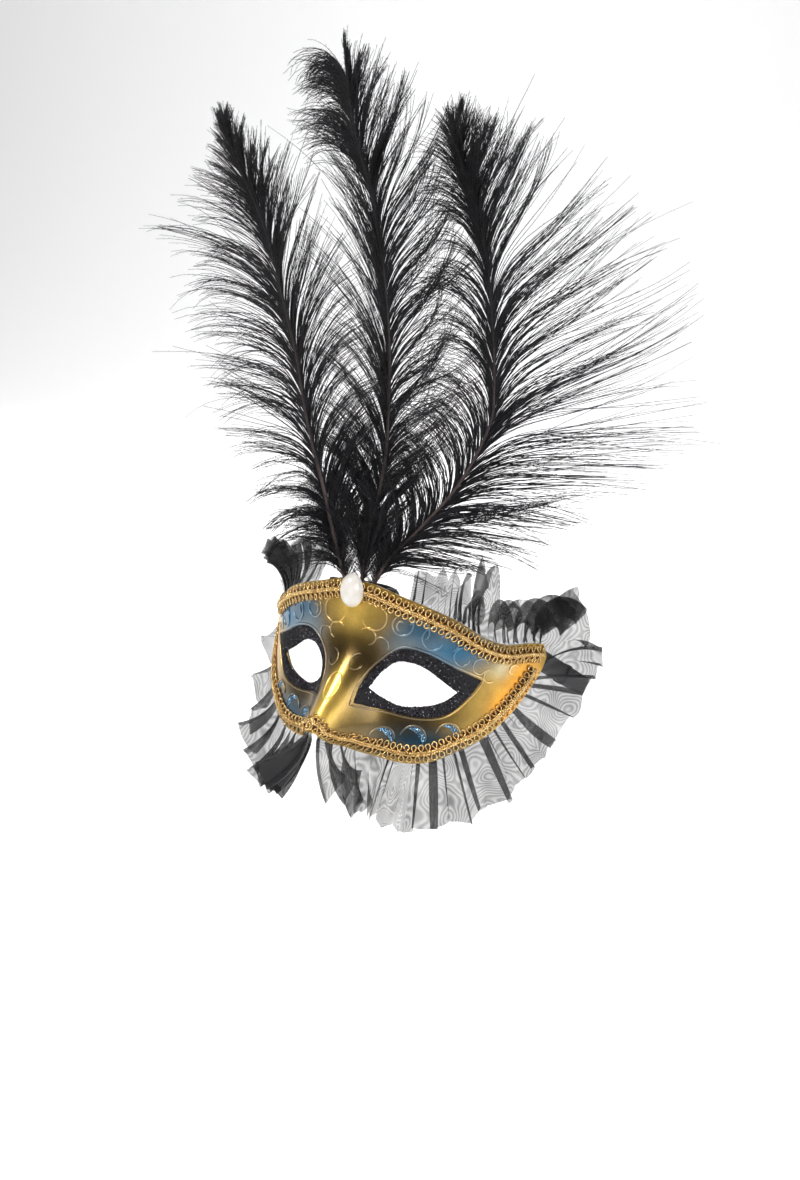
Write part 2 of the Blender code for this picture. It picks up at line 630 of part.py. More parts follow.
def vane_grid(which, place, rows=15, cols=4):
    """Vane middle surface: straight barbs from the quill, fanned out along it."""
    lengths, angles = VANES[(which, place)]
    line = quill_line(which, 60)
    share = np.linspace(VANE_START, 0.985, rows)
    pick = share * (len(line) - 1)
    start = np.column_stack([np.interp(pick, np.arange(len(line)), line[:, i]) for i in range(3)])
    knots = np.linspace(0, 1, len(lengths))
    along = np.linspace(0, 1, rows)
    length = np.interp(along, knots, lengths) * PLUME_HEIGHT
    angle = np.radians(np.interp(along, knots, angles))
    way = np.column_stack([np.cos(angle), np.zeros(rows), np.sin(angle)])
    step = np.gradient(start, axis=0)
    square = np.column_stack([step[:, 2], np.zeros(rows), -step[:, 0]])
    square /= np.linalg.norm(square, axis=1)[:, None]
    square *= np.sign(np.sum(square * way, axis=1))[:, None]
    start = start + square * (QUILL_RADIUS + GAP)
    reach = np.linspace(0, 1, cols)
    return start[:, None] + way[:, None] * (length[:, None] * reach)[..., None]


def make_plumes():
    quill_mat = material("quill", (0.16, 0.12, 0.11), 0.5)
    vane_mat = material("ostrich_barbs", (0.012, 0.012, 0.018), 0.7)
    for which in QUILLS:
        line = quill_line(which)
        radii = np.linspace(QUILL_RADIUS, QUILL_TIP_RADIUS, len(line))
        tapered_tube("quill_" + which, quill_mat, line, radii)
        for place in ("outer", "inner"):
            middle = vane_grid(which, place)
            half = np.array([0, VANE_WALL / 2, 0])
            closed_grid("vane_" + which + "_" + place, vane_mat, middle - half, middle + half)


def make_basal_down():
    """Curly down at the foot of the left plume, in front of its quill."""
    mat = material("basal_down", (0.014, 0.013, 0.018), 0.8)
    centre = np.array([-DOWN_OUT, 0, PEARL_LEVEL + DOWN_UP])
    radii = np.array(DOWN_HALF)
    quill_front = POCKET_MIDDLE + SETBACK["left"][0] * MM - QUILL_RADIUS
    centre[1] = quill_front - radii[1] - 2 * MM
    rings, sides = 8, 16
    tilt = np.linspace(-math.pi / 2, math.pi / 2, rings + 2)[1:-1]
    turn = np.arange(sides) * 2 * math.pi / sides
    ball = np.stack([np.cos(tilt)[:, None] * np.cos(turn), np.cos(tilt)[:, None] * np.sin(turn),
                     np.sin(tilt)[:, None] * np.ones(sides)], axis=-1)
    points = np.vstack([(ball * radii + centre).reshape(-1, 3),
                        [centre - [0, 0, radii[2]], centre + [0, 0, radii[2]]]])
    index = np.arange(rings * sides).reshape(rings, sides)
    faces = [(index[i, j], index[i, (j + 1) % sides], index[i + 1, (j + 1) % sides], index[i + 1, j])
             for i in range(rings - 1) for j in range(sides)]
    faces += [(index[0, (j + 1) % sides], index[0, j], rings * sides) for j in range(sides)]
    faces += [(index[-1, j], index[-1, (j + 1) % sides], rings * sides + 1) for j in range(sides)]
    make_outward(new_object("basal_down_left", points, faces, mat))


def make_binding():
    """Wire wound round the three quill roots, as one stadium-shaped sleeve."""
    mat = material("binding_wire", (0.05, 0.05, 0.05), 0.4, 0.9)
    level = shell_top() - ROOT_DEPTH + GAP
    inner = QUILL_RADIUS + GAP
    turn = np.radians(np.linspace(-90, 90, 9))
    loops = []
    for radius in (inner + BINDING_WALL, inner):
        right = np.column_stack([ROOT_PITCH + radius * np.cos(turn), radius * np.sin(turn)])
        loops.append(np.vstack([right, -right]))
    count = len(loops[0])
    rings = [(loops[0], level), (loops[0], level + BINDING_WIDTH),
             (loops[1], level + BINDING_WIDTH), (loops[1], level)]
    points = np.vstack([np.column_stack([r[:, 0], r[:, 1] + POCKET_MIDDLE, np.full(count, z)])
                        for r, z in rings])
    faces = [(a * count + k, a * count + (k + 1) % count, (a + 1) % 4 * count + (k + 1) % count,
              (a + 1) % 4 * count + k) for a in range(4) for k in range(count)]
    make_outward(new_object("quill_binding", points, faces, mat, smooth=False))


# ---- ribbon ties -----------------------------------------------------------------------------
def patch_middle():
    low, high = LOW_BRAID_LINE[-3], TOP_BRAID_LINE[-2]
    return np.array([PATTERN_HALF_GIRTH - 9 * MM, (low[1] + high[1]) / 2])


def patch_depth():
    return -SHELL_WALL - 3 * CURVED_GAP - RUFFLE_THIN - TAPE_WALL


def make_patch(word, side):
    """Felt square glued over the sewn end of the tie."""
    mat = material("anchor_felt_" + word, (0.02, 0.02, 0.022), 0.95)
    s, z = patch_middle()
    w, h = PATCH_WIDTH / 2, PATCH_HEIGHT / 2
    loop = np.array([(s - w, z - h), (s + w, z - h), (s + w, z + h), (s - w, z + h)])
    outer = patch_depth()
    wall_layer("ribbon_anchor_patch_" + word, mat, sided(loop, side), [], outer, outer - PATCH_WALL)


def ribbon_frame(side):
    """Start of the tie, its way along, its width way and its flat side towards the head."""
    s, z = patch_middle()
    s = s + PATCH_WIDTH / 2 + GAP
    start = wall_point(s, z, patch_depth() - PATCH_WALL / 2)
    level = wall_point(s + 1 * MM, z, 0) - wall_point(s, z, 0)
    level[2] = 0
    level /= np.linalg.norm(level)
    fall = math.radians(RIBBON_FALL)
    along = level * math.cos(fall) - np.array([0, 0, math.sin(fall)])
    wide = level * math.sin(fall) + np.array([0, 0, math.cos(fall)])
    head = np.cross(along, wide)
    head *= -np.sign(head[0])
    mirror = np.array([side, 1, 1])
    start = start + level * (RIBBON_WIDTH / 2 * math.sin(fall) + GAP)
    return start * mirror, along * mirror, wide * mirror, head * mirror


def ribbon_prism(name, mat, side, profile, wide_low, wide_high):
    """Profile in (along, towards head) run across the ribbon's width."""
    start, along, wide, head = ribbon_frame(side)
    profile = np.array(profile)
    base = start + profile[:, :1] * along + profile[:, 1:] * head
    count = len(profile)
    points = np.vstack([base + wide * wide_low, base + wide * wide_high])
    faces = [tuple(range(count)), tuple(range(2 * count - 1, count - 1, -1))]
    faces += [((k + 1) % count, k, count + k, count + (k + 1) % count) for k in range(count)]
    make_outward(new_object(name, points, faces, mat, smooth=False))


def make_ribbon(word, side):
    """Satin tie, folded to and fro into a bundle behind its first run."""
    mat = material("satin_" + word, (0.012, 0.012, 0.016), 0.35)
    half = RIBBON_WIDTH / 2
    profile = [(0, 0), (RIBBON_RUN, 0), (RIBBON_RUN, RIBBON_STACK), (RIBBON_LEAD, RIBBON_STACK),
               (RIBBON_LEAD, RIBBON_WALL), (0, RIBBON_WALL)]
    ribbon_prism("ribbon_tie_" + word, mat, side, profile, -half, half)


def make_keeper(word, side):
    """Narrow elastic ring that keeps the folded tie together."""
    mat = material("keeper_" + word, (0.03, 0.03, 0.03), 0.6)
    start, along, wide, head = ribbon_frame(side)
    low = (RIBBON_LEAD + RIBBON_RUN) / 2
    half = RIBBON_WIDTH / 2 + GAP
    rings = []
    for grow in (KEEPER_WALL, 0.0):
        w, a, b = half + grow, -GAP - grow, RIBBON_STACK + GAP + grow
        rings.append(np.array([(-w, a), (w, a), (w, b), (-w, b)]))
    corners = [(rings[0], low), (rings[0], low + KEEPER_WIDTH),
               (rings[1], low + KEEPER_WIDTH), (rings[1], low)]
    points = np.vstack([start + along * at + r[:, :1] * wide + r[:, 1:] * head for r, at in corners])
    faces = [(a * 4 + k, a * 4 + (k + 1) % 4, (a + 1) % 4 * 4 + (k + 1) % 4, (a + 1) % 4 * 4 + k)
             for a in range(4) for k in range(4)]
    make_outward(new_object("ribbon_keeper_" + word, points, faces, mat, smooth=False))


for old in list(bpy.data.objects):
    bpy.data.objects.remove(old, do_unlink=True)

make_shell()
make_lining()
for_sides(make_glitter)
make_braids()
make_pearl()
for_sides(make_ruffle)
for_sides(make_heading)
make_brow_pad()
make_plumes()
make_basal_down()
make_binding()
for_sides(make_patch)
for_sides(make_ribbon)
for_sides(make_keeper)
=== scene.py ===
"""Venetian masquerade half mask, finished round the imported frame: painted shell with raised
scrolls, glitter eye bands, gimp braid, pearl, organza ruffle, ostrich plumes, satin ties."""
import math

import bmesh
import bpy
import numpy as np
from mathutils import Matrix, Vector


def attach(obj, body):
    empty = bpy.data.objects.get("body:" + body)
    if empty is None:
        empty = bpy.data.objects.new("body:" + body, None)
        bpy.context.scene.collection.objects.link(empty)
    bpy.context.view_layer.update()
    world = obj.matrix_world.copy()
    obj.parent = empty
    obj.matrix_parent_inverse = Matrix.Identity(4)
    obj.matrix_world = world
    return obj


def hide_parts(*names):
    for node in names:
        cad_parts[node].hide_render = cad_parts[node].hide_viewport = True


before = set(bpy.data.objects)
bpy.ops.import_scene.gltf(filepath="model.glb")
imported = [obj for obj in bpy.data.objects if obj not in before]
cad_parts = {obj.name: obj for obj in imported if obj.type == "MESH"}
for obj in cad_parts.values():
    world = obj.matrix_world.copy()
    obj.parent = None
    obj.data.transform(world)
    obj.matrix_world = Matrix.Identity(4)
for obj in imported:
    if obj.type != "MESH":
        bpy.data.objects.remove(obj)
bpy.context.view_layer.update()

# ---- camera -----------------------------------------------------------------------------
# A standing viewer's eye, a little above the mask and off to its left-hand side, with the
# camera tilted by hand. The lens is a phone's normal lens.
PEARL_MIDDLE = np.array([0.0, -0.0165, 0.0085])
VIEW_TURN, VIEW_RISE, VIEW_ROLL = np.radians([29.8, 14.15, 3.37])
VIEW_DISTANCE = 0.600
LENS_MM, SENSOR_MM = 35.5, 36.0
PEARL_ACROSS, PEARL_UP = -0.0415, -0.0005     # shares of the long side, from the middle

level_right = np.array([np.cos(VIEW_TURN), np.sin(VIEW_TURN), 0.0])
level_ahead = np.array([-np.sin(VIEW_TURN), np.cos(VIEW_TURN), 0.0])
view_ahead = level_ahead * np.cos(VIEW_RISE) - np.array([0, 0, np.sin(VIEW_RISE)])
view_up = level_ahead * np.sin(VIEW_RISE) + np.array([0, 0, np.cos(VIEW_RISE)])
cam_right = np.cos(VIEW_ROLL) * level_right + np.sin(VIEW_ROLL) * view_up
cam_up = np.cos(VIEW_ROLL) * view_up - np.sin(VIEW_ROLL) * level_right
frame_span = VIEW_DISTANCE * SENSOR_MM / LENS_MM
cam_place = (PEARL_MIDDLE - view_ahead * VIEW_DISTANCE
             - cam_right * PEARL_ACROSS * frame_span - cam_up * PEARL_UP * frame_span)
cam_data = bpy.data.cameras.new("camera")
cam_data.lens = LENS_MM
cam_data.sensor_width = SENSOR_MM
camera = bpy.data.objects.new("camera", cam_data)
turned = np.eye(4)
turned[:3, 0], turned[:3, 1], turned[:3, 2], turned[:3, 3] = cam_right, cam_up, -view_ahead, cam_place
camera.matrix_world = Matrix(turned.tolist())
bpy.context.scene.collection.objects.link(camera)
bpy.context.scene.camera = camera
bpy.context.scene.view_settings.view_transform = "Standard"

# ---- painted shell ------------------------------------------------------------------------
# The shell is moulded plastic, sprayed gold and then blue and bronze from the side, so that
# the colours run into each other. It is one skin 1.2 mm thick with two eye openings.
WRAP_HALF_WIDTH, WRAP_DEPTH, WRAP_GIRTH_RADIUS = 0.087, 0.084, 0.086
PROFILE_LEAN = 0.104
FRONT_OFFSET, PEARL_LEVEL = 0.0112, 0.0085
HALF_GIRTH, PATTERN_DROP = 0.109, 0.0816
SHELL_WALL = 0.0012
BRAID_WIDTH = 0.0095
EDGE_OUT = BRAID_WIDTH / 2 + 0.0008
EYE_MIDDLE, EYE_SIZE = np.array([0.0366, -0.0467]), np.array([0.044, 0.0234])
TOP_LINE = [(0, 0.018), (0.085, 0.021), (0.228, 0.074), (0.360, 0.129), (0.492, 0.199),
            (0.630, 0.301), (0.762, 0.360), (0.896, 0.369), (1.0, 0.388)]
LOW_LINE = [(0, 0.748), (0.060, 0.782), (0.107, 0.857), (0.140, 0.896), (0.198, 0.961),
            (0.305, 1.0), (0.432, 0.990), (0.555, 0.920), (0.682, 0.837), (0.814, 0.701),
            (0.917, 0.550), (0.987, 0.439)]
EYE_UPPER = [(-0.5, -0.10), (-0.41, 0.24), (-0.24, 0.50), (0.0, 0.44), (0.27, 0.13),
             (0.5, -0.10)]
EYE_LOWER = [(0.5, -0.10), (0.33, -0.33), (0.12, -0.46), (-0.16, -0.5), (-0.36, -0.33),
             (-0.5, -0.10)]
BAND_UPPER = [(-0.58, -0.39), (-0.565, 0.03), (-0.43, 0.47), (-0.20, 0.81), (0.09, 0.755),
              (0.46, 0.44), (0.80, 0.19)]
BAND_LOWER = [(0.80, 0.19), (0.66, -0.17), (0.40, -0.60), (0.02, -0.69), (-0.36, -0.56),
              (-0.58, -0.39)]


def smooth_line(points, count):
    """Even points on the Catmull-Rom curve through a list of points."""
    p = np.array(points, float)
    p = np.vstack([2 * p[0] - p[1], p, 2 * p[-1] - p[-2]])
    a, b, c, d = (p[k:len(p) - 3 + k, None] for k in range(4))
    t = np.linspace(0, 1, 60, endpoint=False)[None, :, None]
    dense = 0.5 * (2 * b + (c - a) * t + (2 * a - 5 * b + 4 * c - d) * t ** 2
                   + (3 * b - a - 3 * c + d) * t ** 3)
    return even_line(np.vstack([dense.reshape(-1, p.shape[1]), p[-2]]), count)


def even_line(points, count):
    """The same line with its points a constant distance apart."""
    run = np.concatenate([[0], np.cumsum(np.linalg.norm(np.diff(points, axis=0), axis=1))])
    at = np.linspace(0, run[-1], count)
    return np.column_stack([np.interp(at, run, points[:, i]) for i in range(points.shape[1])])


def ease(t):
    """Smooth step from 0 to 1: 3 t^2 - 2 t^3."""
    t = np.clip(t, 0, 1)
    return t * t * (3 - 2 * t)


def wall_middle(s, z):
    """Outer wall: girth distance s round an ellipse at height z, leaning forward below, with
    a bell-shaped nose ridge that grows downwards and a bell-shaped socket at each eye."""
    x = WRAP_HALF_WIDTH * np.sin(s / WRAP_GIRTH_RADIUS)
    y = WRAP_DEPTH * (1 - np.cos(s / WRAP_GIRTH_RADIUS)) + PROFILE_LEAN * z
    rise = (-0.026 - z) / 0.034
    rise = np.minimum(0.5 * (rise + np.sqrt(rise ** 2 + 0.02)), 1.2)
    y = y - 0.026 * rise ** 1.3 * np.exp(-(x / 0.014) ** 2)
    y = y + 0.008 * np.exp(-((np.abs(x) - 0.035) / 0.018) ** 2 - ((z + 0.047) / 0.014) ** 2)
    return np.stack([x, y - FRONT_OFFSET, z + PEARL_LEVEL], axis=-1)


def wall_normal(s, z):
    """Unit normal of the wall, away from the face, from two small steps along it."""
    d = 0.0002
    n = np.cross(wall_middle(s + d, z) - wall_middle(s - d, z),
                 wall_middle(s, z + d) - wall_middle(s, z - d))
    return n / np.linalg.norm(n, axis=-1, keepdims=True)


def on_wall(flat, height):
    """Points of the flat pattern laid on the wall, at a height above it."""
    s, z = flat[..., 0], flat[..., 1]
    return wall_middle(s, z) + wall_normal(s, z) * np.asarray(height)[..., None]


def side_normals(line):
    """Left-hand unit normals of a flat line."""
    step = np.gradient(line, axis=0)
    step /= np.linalg.norm(step, axis=1)[:, None]
    return np.column_stack([-step[:, 1], step[:, 0]])


def pattern(points, count):
    return smooth_line(np.array(points) * [HALF_GIRTH, -PATTERN_DROP], count)


def eye_loop(upper, lower, count=160, grow=0.0):
    """Closed loop of an eye opening or band, clockwise from its inner corner."""
    loop = np.vstack([smooth_line(np.array(side) * EYE_SIZE, count // 2 + 1)[:-1]
                      for side in (upper, lower)])
    step = np.roll(loop, -1, axis=0) - np.roll(loop, 1, axis=0)
    step /= np.linalg.norm(step, axis=1)[:, None]
    return loop + np.column_stack([-step[:, 1], step[:, 0]]) * grow + EYE_MIDDLE


TOP_BRAID = pattern(TOP_LINE, 200)
LOW_BRAID = pattern(LOW_LINE, 260)


def half_outline(inset=0.0):
    """Right half of the shell's outline, from the top middle round the corner to the nose."""
    out = EDGE_OUT - inset
    top = TOP_BRAID + side_normals(TOP_BRAID) * out
    low = (LOW_BRAID - side_normals(LOW_BRAID) * out)[::-1]
    top[0, 0], low[-1, 0] = 0, 0
    corner = (TOP_BRAID[-1] + LOW_BRAID[-1]) / 2 + [out, 0]
    return np.vstack([top, even_line(np.vstack([top[-1], corner, low[0]]), 12)[1:-1], low])


def polar_radius(loop, angles):
    """Distance from the eye's middle to a loop round it, in each direction."""
    away = loop - EYE_MIDDLE
    turn = np.arctan2(away[:, 1], away[:, 0])
    order = np.argsort(turn)
    return np.interp(angles, turn[order], np.linalg.norm(away, axis=1)[order], period=2 * math.pi)


def ring_sheet(inner, outer, around, rings, power=1.0):
    """Flat points on rings that grow from an inner loop to an outer loop about the eye."""
    angles = np.linspace(-math.pi, math.pi, around, endpoint=False)
    near, far = polar_radius(inner, angles), polar_radius(outer, angles)
    share = np.linspace(0, 1, rings)[:, None] ** power
    radius = near + (far - near) * share
    return EYE_MIDDLE + radius[..., None] * np.column_stack([np.cos(angles), np.sin(angles)])


def grid_faces(rows, cols, wrap_rows=False, wrap_cols=False):
    """Quads of a grid of points, joined end to end where it wraps."""
    index = np.arange(rows * cols).reshape(rows, cols)
    if wrap_rows:
        index = np.vstack([index, index[:1]])
    if wrap_cols:
        index = np.hstack([index, index[:, :1]])
    return np.stack([index[:-1, :-1], index[1:, :-1], index[1:, 1:], index[:-1, 1:]],
                    axis=-1).reshape(-1, 4)


def piece(name, points, faces, mat, body="mask", slot=None, stands_for=(), smooth=True):
    """New mesh piece at the origin, in its material, riding on its body."""
    mesh = bpy.data.meshes.new(name)
    mesh.from_pydata(np.asarray(points).reshape(-1, 3).tolist(), [],
                     [list(map(int, f)) for f in faces])
    mesh.validate()
    obj = bpy.data.objects.new(name, mesh)
    bpy.context.scene.collection.objects.link(obj)
    mesh.materials.append(mat)
    if smooth:
        mesh.shade_smooth()
    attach(obj, body)
    if stands_for:
        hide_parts(*stands_for)
    return obj


def thick_rings(flat, outer, inner):
    """Closed skin over wrapped rings: front, back, and walls at the first and last ring."""
    rings, around = flat.shape[:2]
    loop = np.concatenate([on_wall(flat, np.full(flat.shape[:2], outer)),
                           on_wall(flat[::-1], np.full(flat.shape[:2], inner))])
    return loop, grid_faces(2 * rings, around, wrap_rows=True, wrap_cols=True)


def capped(rows, cols):
    """Faces of a closed bar: its rows of points wrap round it, and each end has a flat cap."""
    caps = [np.arange(cols)[::-1], (rows - 1) * cols + np.arange(cols)]
    return list(grid_faces(rows, cols, wrap_cols=True)) + caps


def mirror_flat(flat):
    """The left-hand copy of a flat shape, its points run the other way round."""
    return (flat * [-1, 1])[:, ::-1]


def outward(obj):
    """Turns every face outwards."""
    shape = bmesh.new()
    shape.from_mesh(obj.data)
    bmesh.ops.recalc_face_normals(shape, faces=shape.faces)
    shape.to_mesh(obj.data)
    shape.free()
    return obj


def shader_of(name, roughness=0.5, metallic=0.0, colour=(0.5, 0.5, 0.5)):
    """New material and its Principled shader."""
    mat = bpy.data.materials.new(name)
    mat.use_nodes = True
    shader = mat.node_tree.nodes["Principled BSDF"]
    shader.inputs["Base Color"].default_value = (*colour, 1)
    shader.inputs["Roughness"].default_value = roughness
    shader.inputs["Metallic"].default_value = metallic
    return mat, shader


def node(mat, kind, inputs=None, **settings):
    """New shader node, with its settings and input values or links."""
    made = mat.node_tree.nodes.new(kind)
    for key, value in settings.items():
        setattr(made, key, value)
    for key, value in (inputs or {}).items():
        if isinstance(value, bpy.types.NodeSocket):
            mat.node_tree.links.new(value, made.inputs[key])
        else:
            made.inputs[key].default_value = value
    return made


def link(mat, source, target):
    mat.node_tree.links.new(source, target)


def object_noise(mat, scale, detail=3.0, roughness=0.55):
    """Noise over Object coordinates."""
    where = node(mat, "ShaderNodeTexCoord").outputs["Object"]
    return node(mat, "ShaderNodeTexNoise",
                {"Vector": where, "Scale": scale, "Detail": detail, "Roughness": roughness})


def ramp(mat, factor, stops):
    """Colour ramp through (place, colour) stops."""
    made = node(mat, "ShaderNodeValToRGB", {"Fac": factor})
    for k, (place, colour) in enumerate(stops):
        stop = made.color_ramp.elements[k] if k < 2 else made.color_ramp.elements.new(place)
        stop.position = place
        stop.color = (*colour, 1)
    return made


def bump(mat, shader, height, strength, distance):
    made = node(mat, "ShaderNodeBump",
                {"Height": height, "Strength": strength, "Distance": distance})
    link(mat, made.outputs["Normal"], shader.inputs["Normal"])


def toned(mat, shader, factor, low, high):
    """Base colour that runs between two (place, colour) stops with a factor."""
    link(mat, ramp(mat, factor, [low, high]).outputs[0], shader.inputs["Base Color"])


def multiplied(mat, colour, shade):
    """One colour times another."""
    return node(mat, "ShaderNodeMixRGB", {"Fac": 1.0, "Color1": colour, "Color2": shade},
                blend_type="MULTIPLY").outputs[0]


def set_inputs(shader, **values):
    """Sets shader inputs whose names are the given words, an underscore for each space."""
    for key, value in values.items():
        shader.inputs[key.replace("_", " ")].default_value = value


# The third colour, bright gold, is used only for painted highlights.
GOLD, HIGHLIGHT_GOLD, BRONZE = (0.42, 0.27, 0.06), (1.0, 0.66, 0.13), (0.055, 0.036, 0.013)
SKY, DEEP, PALE = (0.035, 0.135, 0.235), (0.010, 0.045, 0.075), (0.50, 0.47, 0.30)
AMBER, STEEL = (0.95, 0.42, 0.04), (0.16, 0.22, 0.26)


def paint_and_highlight_colours(flat):
    """Sprayed colours and painted highlights over the flat pattern, in millimetres: each spray is a
    bell-shaped patch, wider than high, laid over the ones before it. The bright-gold patches on
    the brow under the pearl and along the nose ridge are painted highlights."""
    s, z = np.abs(flat[..., 0]) * 1000, flat[..., 1] * 1000
    colour = np.ones(s.shape + (3,)) * GOLD
    sprays = [(BRONZE, 24, -40, 28, 26, 0.9), (SKY, 56, -27, 24, 12, 1.0), (SKY, 36, -17, 15, 8, 0.9),
              (STEEL, 26, -24, 9, 8, 0.5), (BRONZE, 34, -66, 26, 7, 0.75), (DEEP, 42, -75, 30, 8, 1.0),
              (SKY, 44, -81, 24, 4, 0.45), (PALE, 84, -37, 7, 5, 0.9), (BRONZE, 0, -34, 14, 9, 0.92),
              (BRONZE, 15, -54, 5, 15, 0.8), (AMBER, 98, -46, 12, 12, 1.0), (AMBER, 87, -57, 9, 8, 1.0),
              # The bright-gold sprays below, on the brow under the pearl and along the nose ridge, are
              # painted highlights.
              (GOLD, 72, -66, 8, 5, 0.8), (HIGHLIGHT_GOLD, 0, -11, 13, 9, 1.0), (GOLD, 14, -12, 9, 8, 0.5),
              (HIGHLIGHT_GOLD, 0, -56, 5.5, 15, 1.0)]
    for tone, s0, z0, wide, high, strength in sprays:
        share = np.exp(-(((s - s0) / wide) ** 2 + ((z - z0) / high) ** 2) ** 1.15) * strength
        colour += (np.array(tone) - colour) * share[..., None]
    return colour


def colour_points(obj, colours):
    """Stores one colour for each point, as the attribute that the paint reads."""
    layer = obj.data.color_attributes.new("paint", "FLOAT_COLOR", "POINT")
    full = np.ones((len(obj.data.vertices), 4), np.float32)
    full[:, :3] = colours.reshape(-1, 3)
    layer.data.foreach_set("color", full.ravel())


def make_paint():
    """Metallic spray paint: stored colours with painted highlights, cloudy variation, fine flake and a thin
    gloss.
    """
    mat, shader = shader_of("metallic_paint_and_painted_highlights", 0.3, 0.88)
    colour = node(mat, "ShaderNodeVertexColor", layer_name="paint").outputs["Color"]
    cloud = object_noise(mat, 90, 4)
    flake = object_noise(mat, 2600, 1)
    shade = ramp(mat, cloud.outputs["Fac"], [(0.3, (0.80, 0.80, 0.80)), (0.7, (1.12, 1.12, 1.12))])
    specks = ramp(mat, flake.outputs["Fac"], [(0.35, (0.86, 0.86, 0.86)), (0.68, (1.15, 1.15, 1.15))])
    cloudy = multiplied(mat, colour, shade.outputs[0])
    link(mat, multiplied(mat, cloudy, specks.outputs[0]), shader.inputs["Base Color"])
    rough = node(mat, "ShaderNodeMapRange",
                 {"Value": cloud.outputs["Fac"], "To Min": 0.24, "To Max": 0.40})
    link(mat, rough.outputs[0], shader.inputs["Roughness"])
    set_inputs(shader, Coat_Weight=0.25, Coat_Roughness=0.2)
    bump(mat, shader, object_noise(mat, 700, 3).outputs["Fac"], 0.12, 0.0004)
    return mat


paint = make_paint()
eye_edge = eye_loop(EYE_UPPER, EYE_LOWER)
right_outer = half_outline()
centre_line = np.column_stack([np.zeros(60), np.linspace(right_outer[-1, 1], right_outer[0, 1], 60)])
half_loop = np.vstack([right_outer, centre_line[1:-1]])
shell_flat = ring_sheet(eye_edge, half_loop, 400, 34, 0.9)
both = []
for flat in (shell_flat, mirror_flat(shell_flat)):
    points, faces = thick_rings(flat, 0.0, -SHELL_WALL)
    inside = np.full(flat.shape[:2] + (3,), 0.02)
    colours = np.concatenate([paint_and_highlight_colours(flat), inside]).reshape(-1, 3)
    both.append((points.reshape(-1, 3), faces, colours))
count = len(both[0][0])
shell = piece("painted_shell", np.vstack([b[0] for b in both]),
              np.vstack([both[0][1], both[1][1] + count]), paint, slot="painted_shell",
              stands_for=["mask_shell"])
colour_points(shell, np.vstack([b[2] for b in both]))
outward(shell)
shell.data.set_sharp_from_angle(angle=math.radians(50))

# ---- scroll relief ------------------------------------------------------------------------
# Thin raised lines moulded with the shell: open circles and curls over the brow and bridge,
# a long oval on the nose, and a border round each eye. They stand 0.4 mm proud.
RELIEF_RADIUS = 0.00048


def tubes(paths, radii, sides=6, up=None):
    """Round cords along many lines of equal length, each ring square to its line, with a
    closed end on each side. up is the direction that the rings keep, such as the normal."""
    paths = np.asarray(paths, float)
    if paths.ndim == 2:
        paths = paths[None]
    lines, count = paths.shape[:2]
    step = np.gradient(paths, axis=1)
    step /= np.maximum(np.linalg.norm(step, axis=2, keepdims=True), 1e-12)
    up = np.broadcast_to([0.0, 1.0, 0.0] if up is None else up, paths.shape)
    side = np.cross(step, up)
    side /= np.maximum(np.linalg.norm(side, axis=2, keepdims=True), 1e-9)
    over = np.cross(side, step)
    turn = np.arange(sides) * 2 * math.pi / sides
    radii = np.broadcast_to(np.asarray(radii, float), (lines, count))[..., None, None]
    ring = np.cos(turn)[:, None] * side[:, :, None] + np.sin(turn)[:, None] * over[:, :, None]
    points = paths[:, :, None] + ring * radii
    quads = grid_faces(count, sides, wrap_cols=True)
    first = (np.arange(lines) * count * sides)[:, None, None]
    faces = list((quads[None] + first).reshape(-1, 4))
    caps = np.arange(sides)
    faces += list(first[:, 0] + caps[::-1]) + list(first[:, 0] + (count - 1) * sides + caps)
    return points.reshape(-1, 3), faces


def joined(parts):
    """One list of points and faces from several."""
    points, faces, start = [], [], 0
    for p, f in parts:
        points.append(p)
        faces += [[int(i) + start for i in face] for face in f]
        start += len(p)
    return np.vstack(points), faces


def curl(s0, z0, radius, start, turns, tighten=0.0):
    """Arc or spiral about (s0, z0) in millimetres: it starts at an angle and tightens."""
    t = np.linspace(0, 1, 60)
    angle = np.radians(start) + t * turns * 2 * math.pi
    r = radius * (1 - tighten * t)
    return np.column_stack([s0 + r * np.cos(angle), z0 + r * np.sin(angle)]) / 1000


eye_border = eye_loop(BAND_UPPER, BAND_LOWER, 160, 0.0011)
one_side = [curl(27, -15, 6.2, 60, -0.82, 0.25), curl(27, -15, 3.4, 250, -0.5, 0.6),
            curl(12, -13, 6.8, 200, 0.62), curl(44, -21, 6.6, 30, 0.85, 0.2),
            curl(36, -17.5, 5.5, 150, -0.55), curl(60, -30, 5.6, 60, 0.8, 0.3),
            curl(70, -35, 4.6, 20, 0.85, 0.2), curl(76, -40, 3.5, 100, 0.6),
            curl(52, -22.5, 5.0, 150, -0.6), curl(9.5, -24, 5.4, 140, -0.6, 0.3),
            curl(7.5, -37, 4.6, 80, 0.72, 0.45), curl(90, -38, 3.0, 20, 0.7, 0.3),
            curl(17, -27, 4.2, 330, 0.5)]
cheek = [curl(s, z, r, 170, -0.5) for s, z, r in ((24, -74.5, 5.6), (39, -74, 6.8), (57, -71.5, 6.6))]
lines = one_side + cheek + [np.vstack([eye_border, eye_border[:1]])]
lines = [even_line(line, 70) for line in lines]
lines += [line * [-1, 1] for line in lines]
oval_turn = np.linspace(0, 2 * math.pi, 70)
oval = np.column_stack([0.0036 * np.cos(oval_turn), -0.0475 + 0.0058 * np.sin(oval_turn)])
lines.append(oval)
stack = np.stack(lines)
relief_ends = np.minimum(1, np.minimum(np.arange(70), np.arange(70)[::-1]) / 6 + 0.25)
closed_lines = np.ones((len(lines), 1)) * relief_ends
closed_lines[[len(one_side) + len(cheek), -1]] = 1
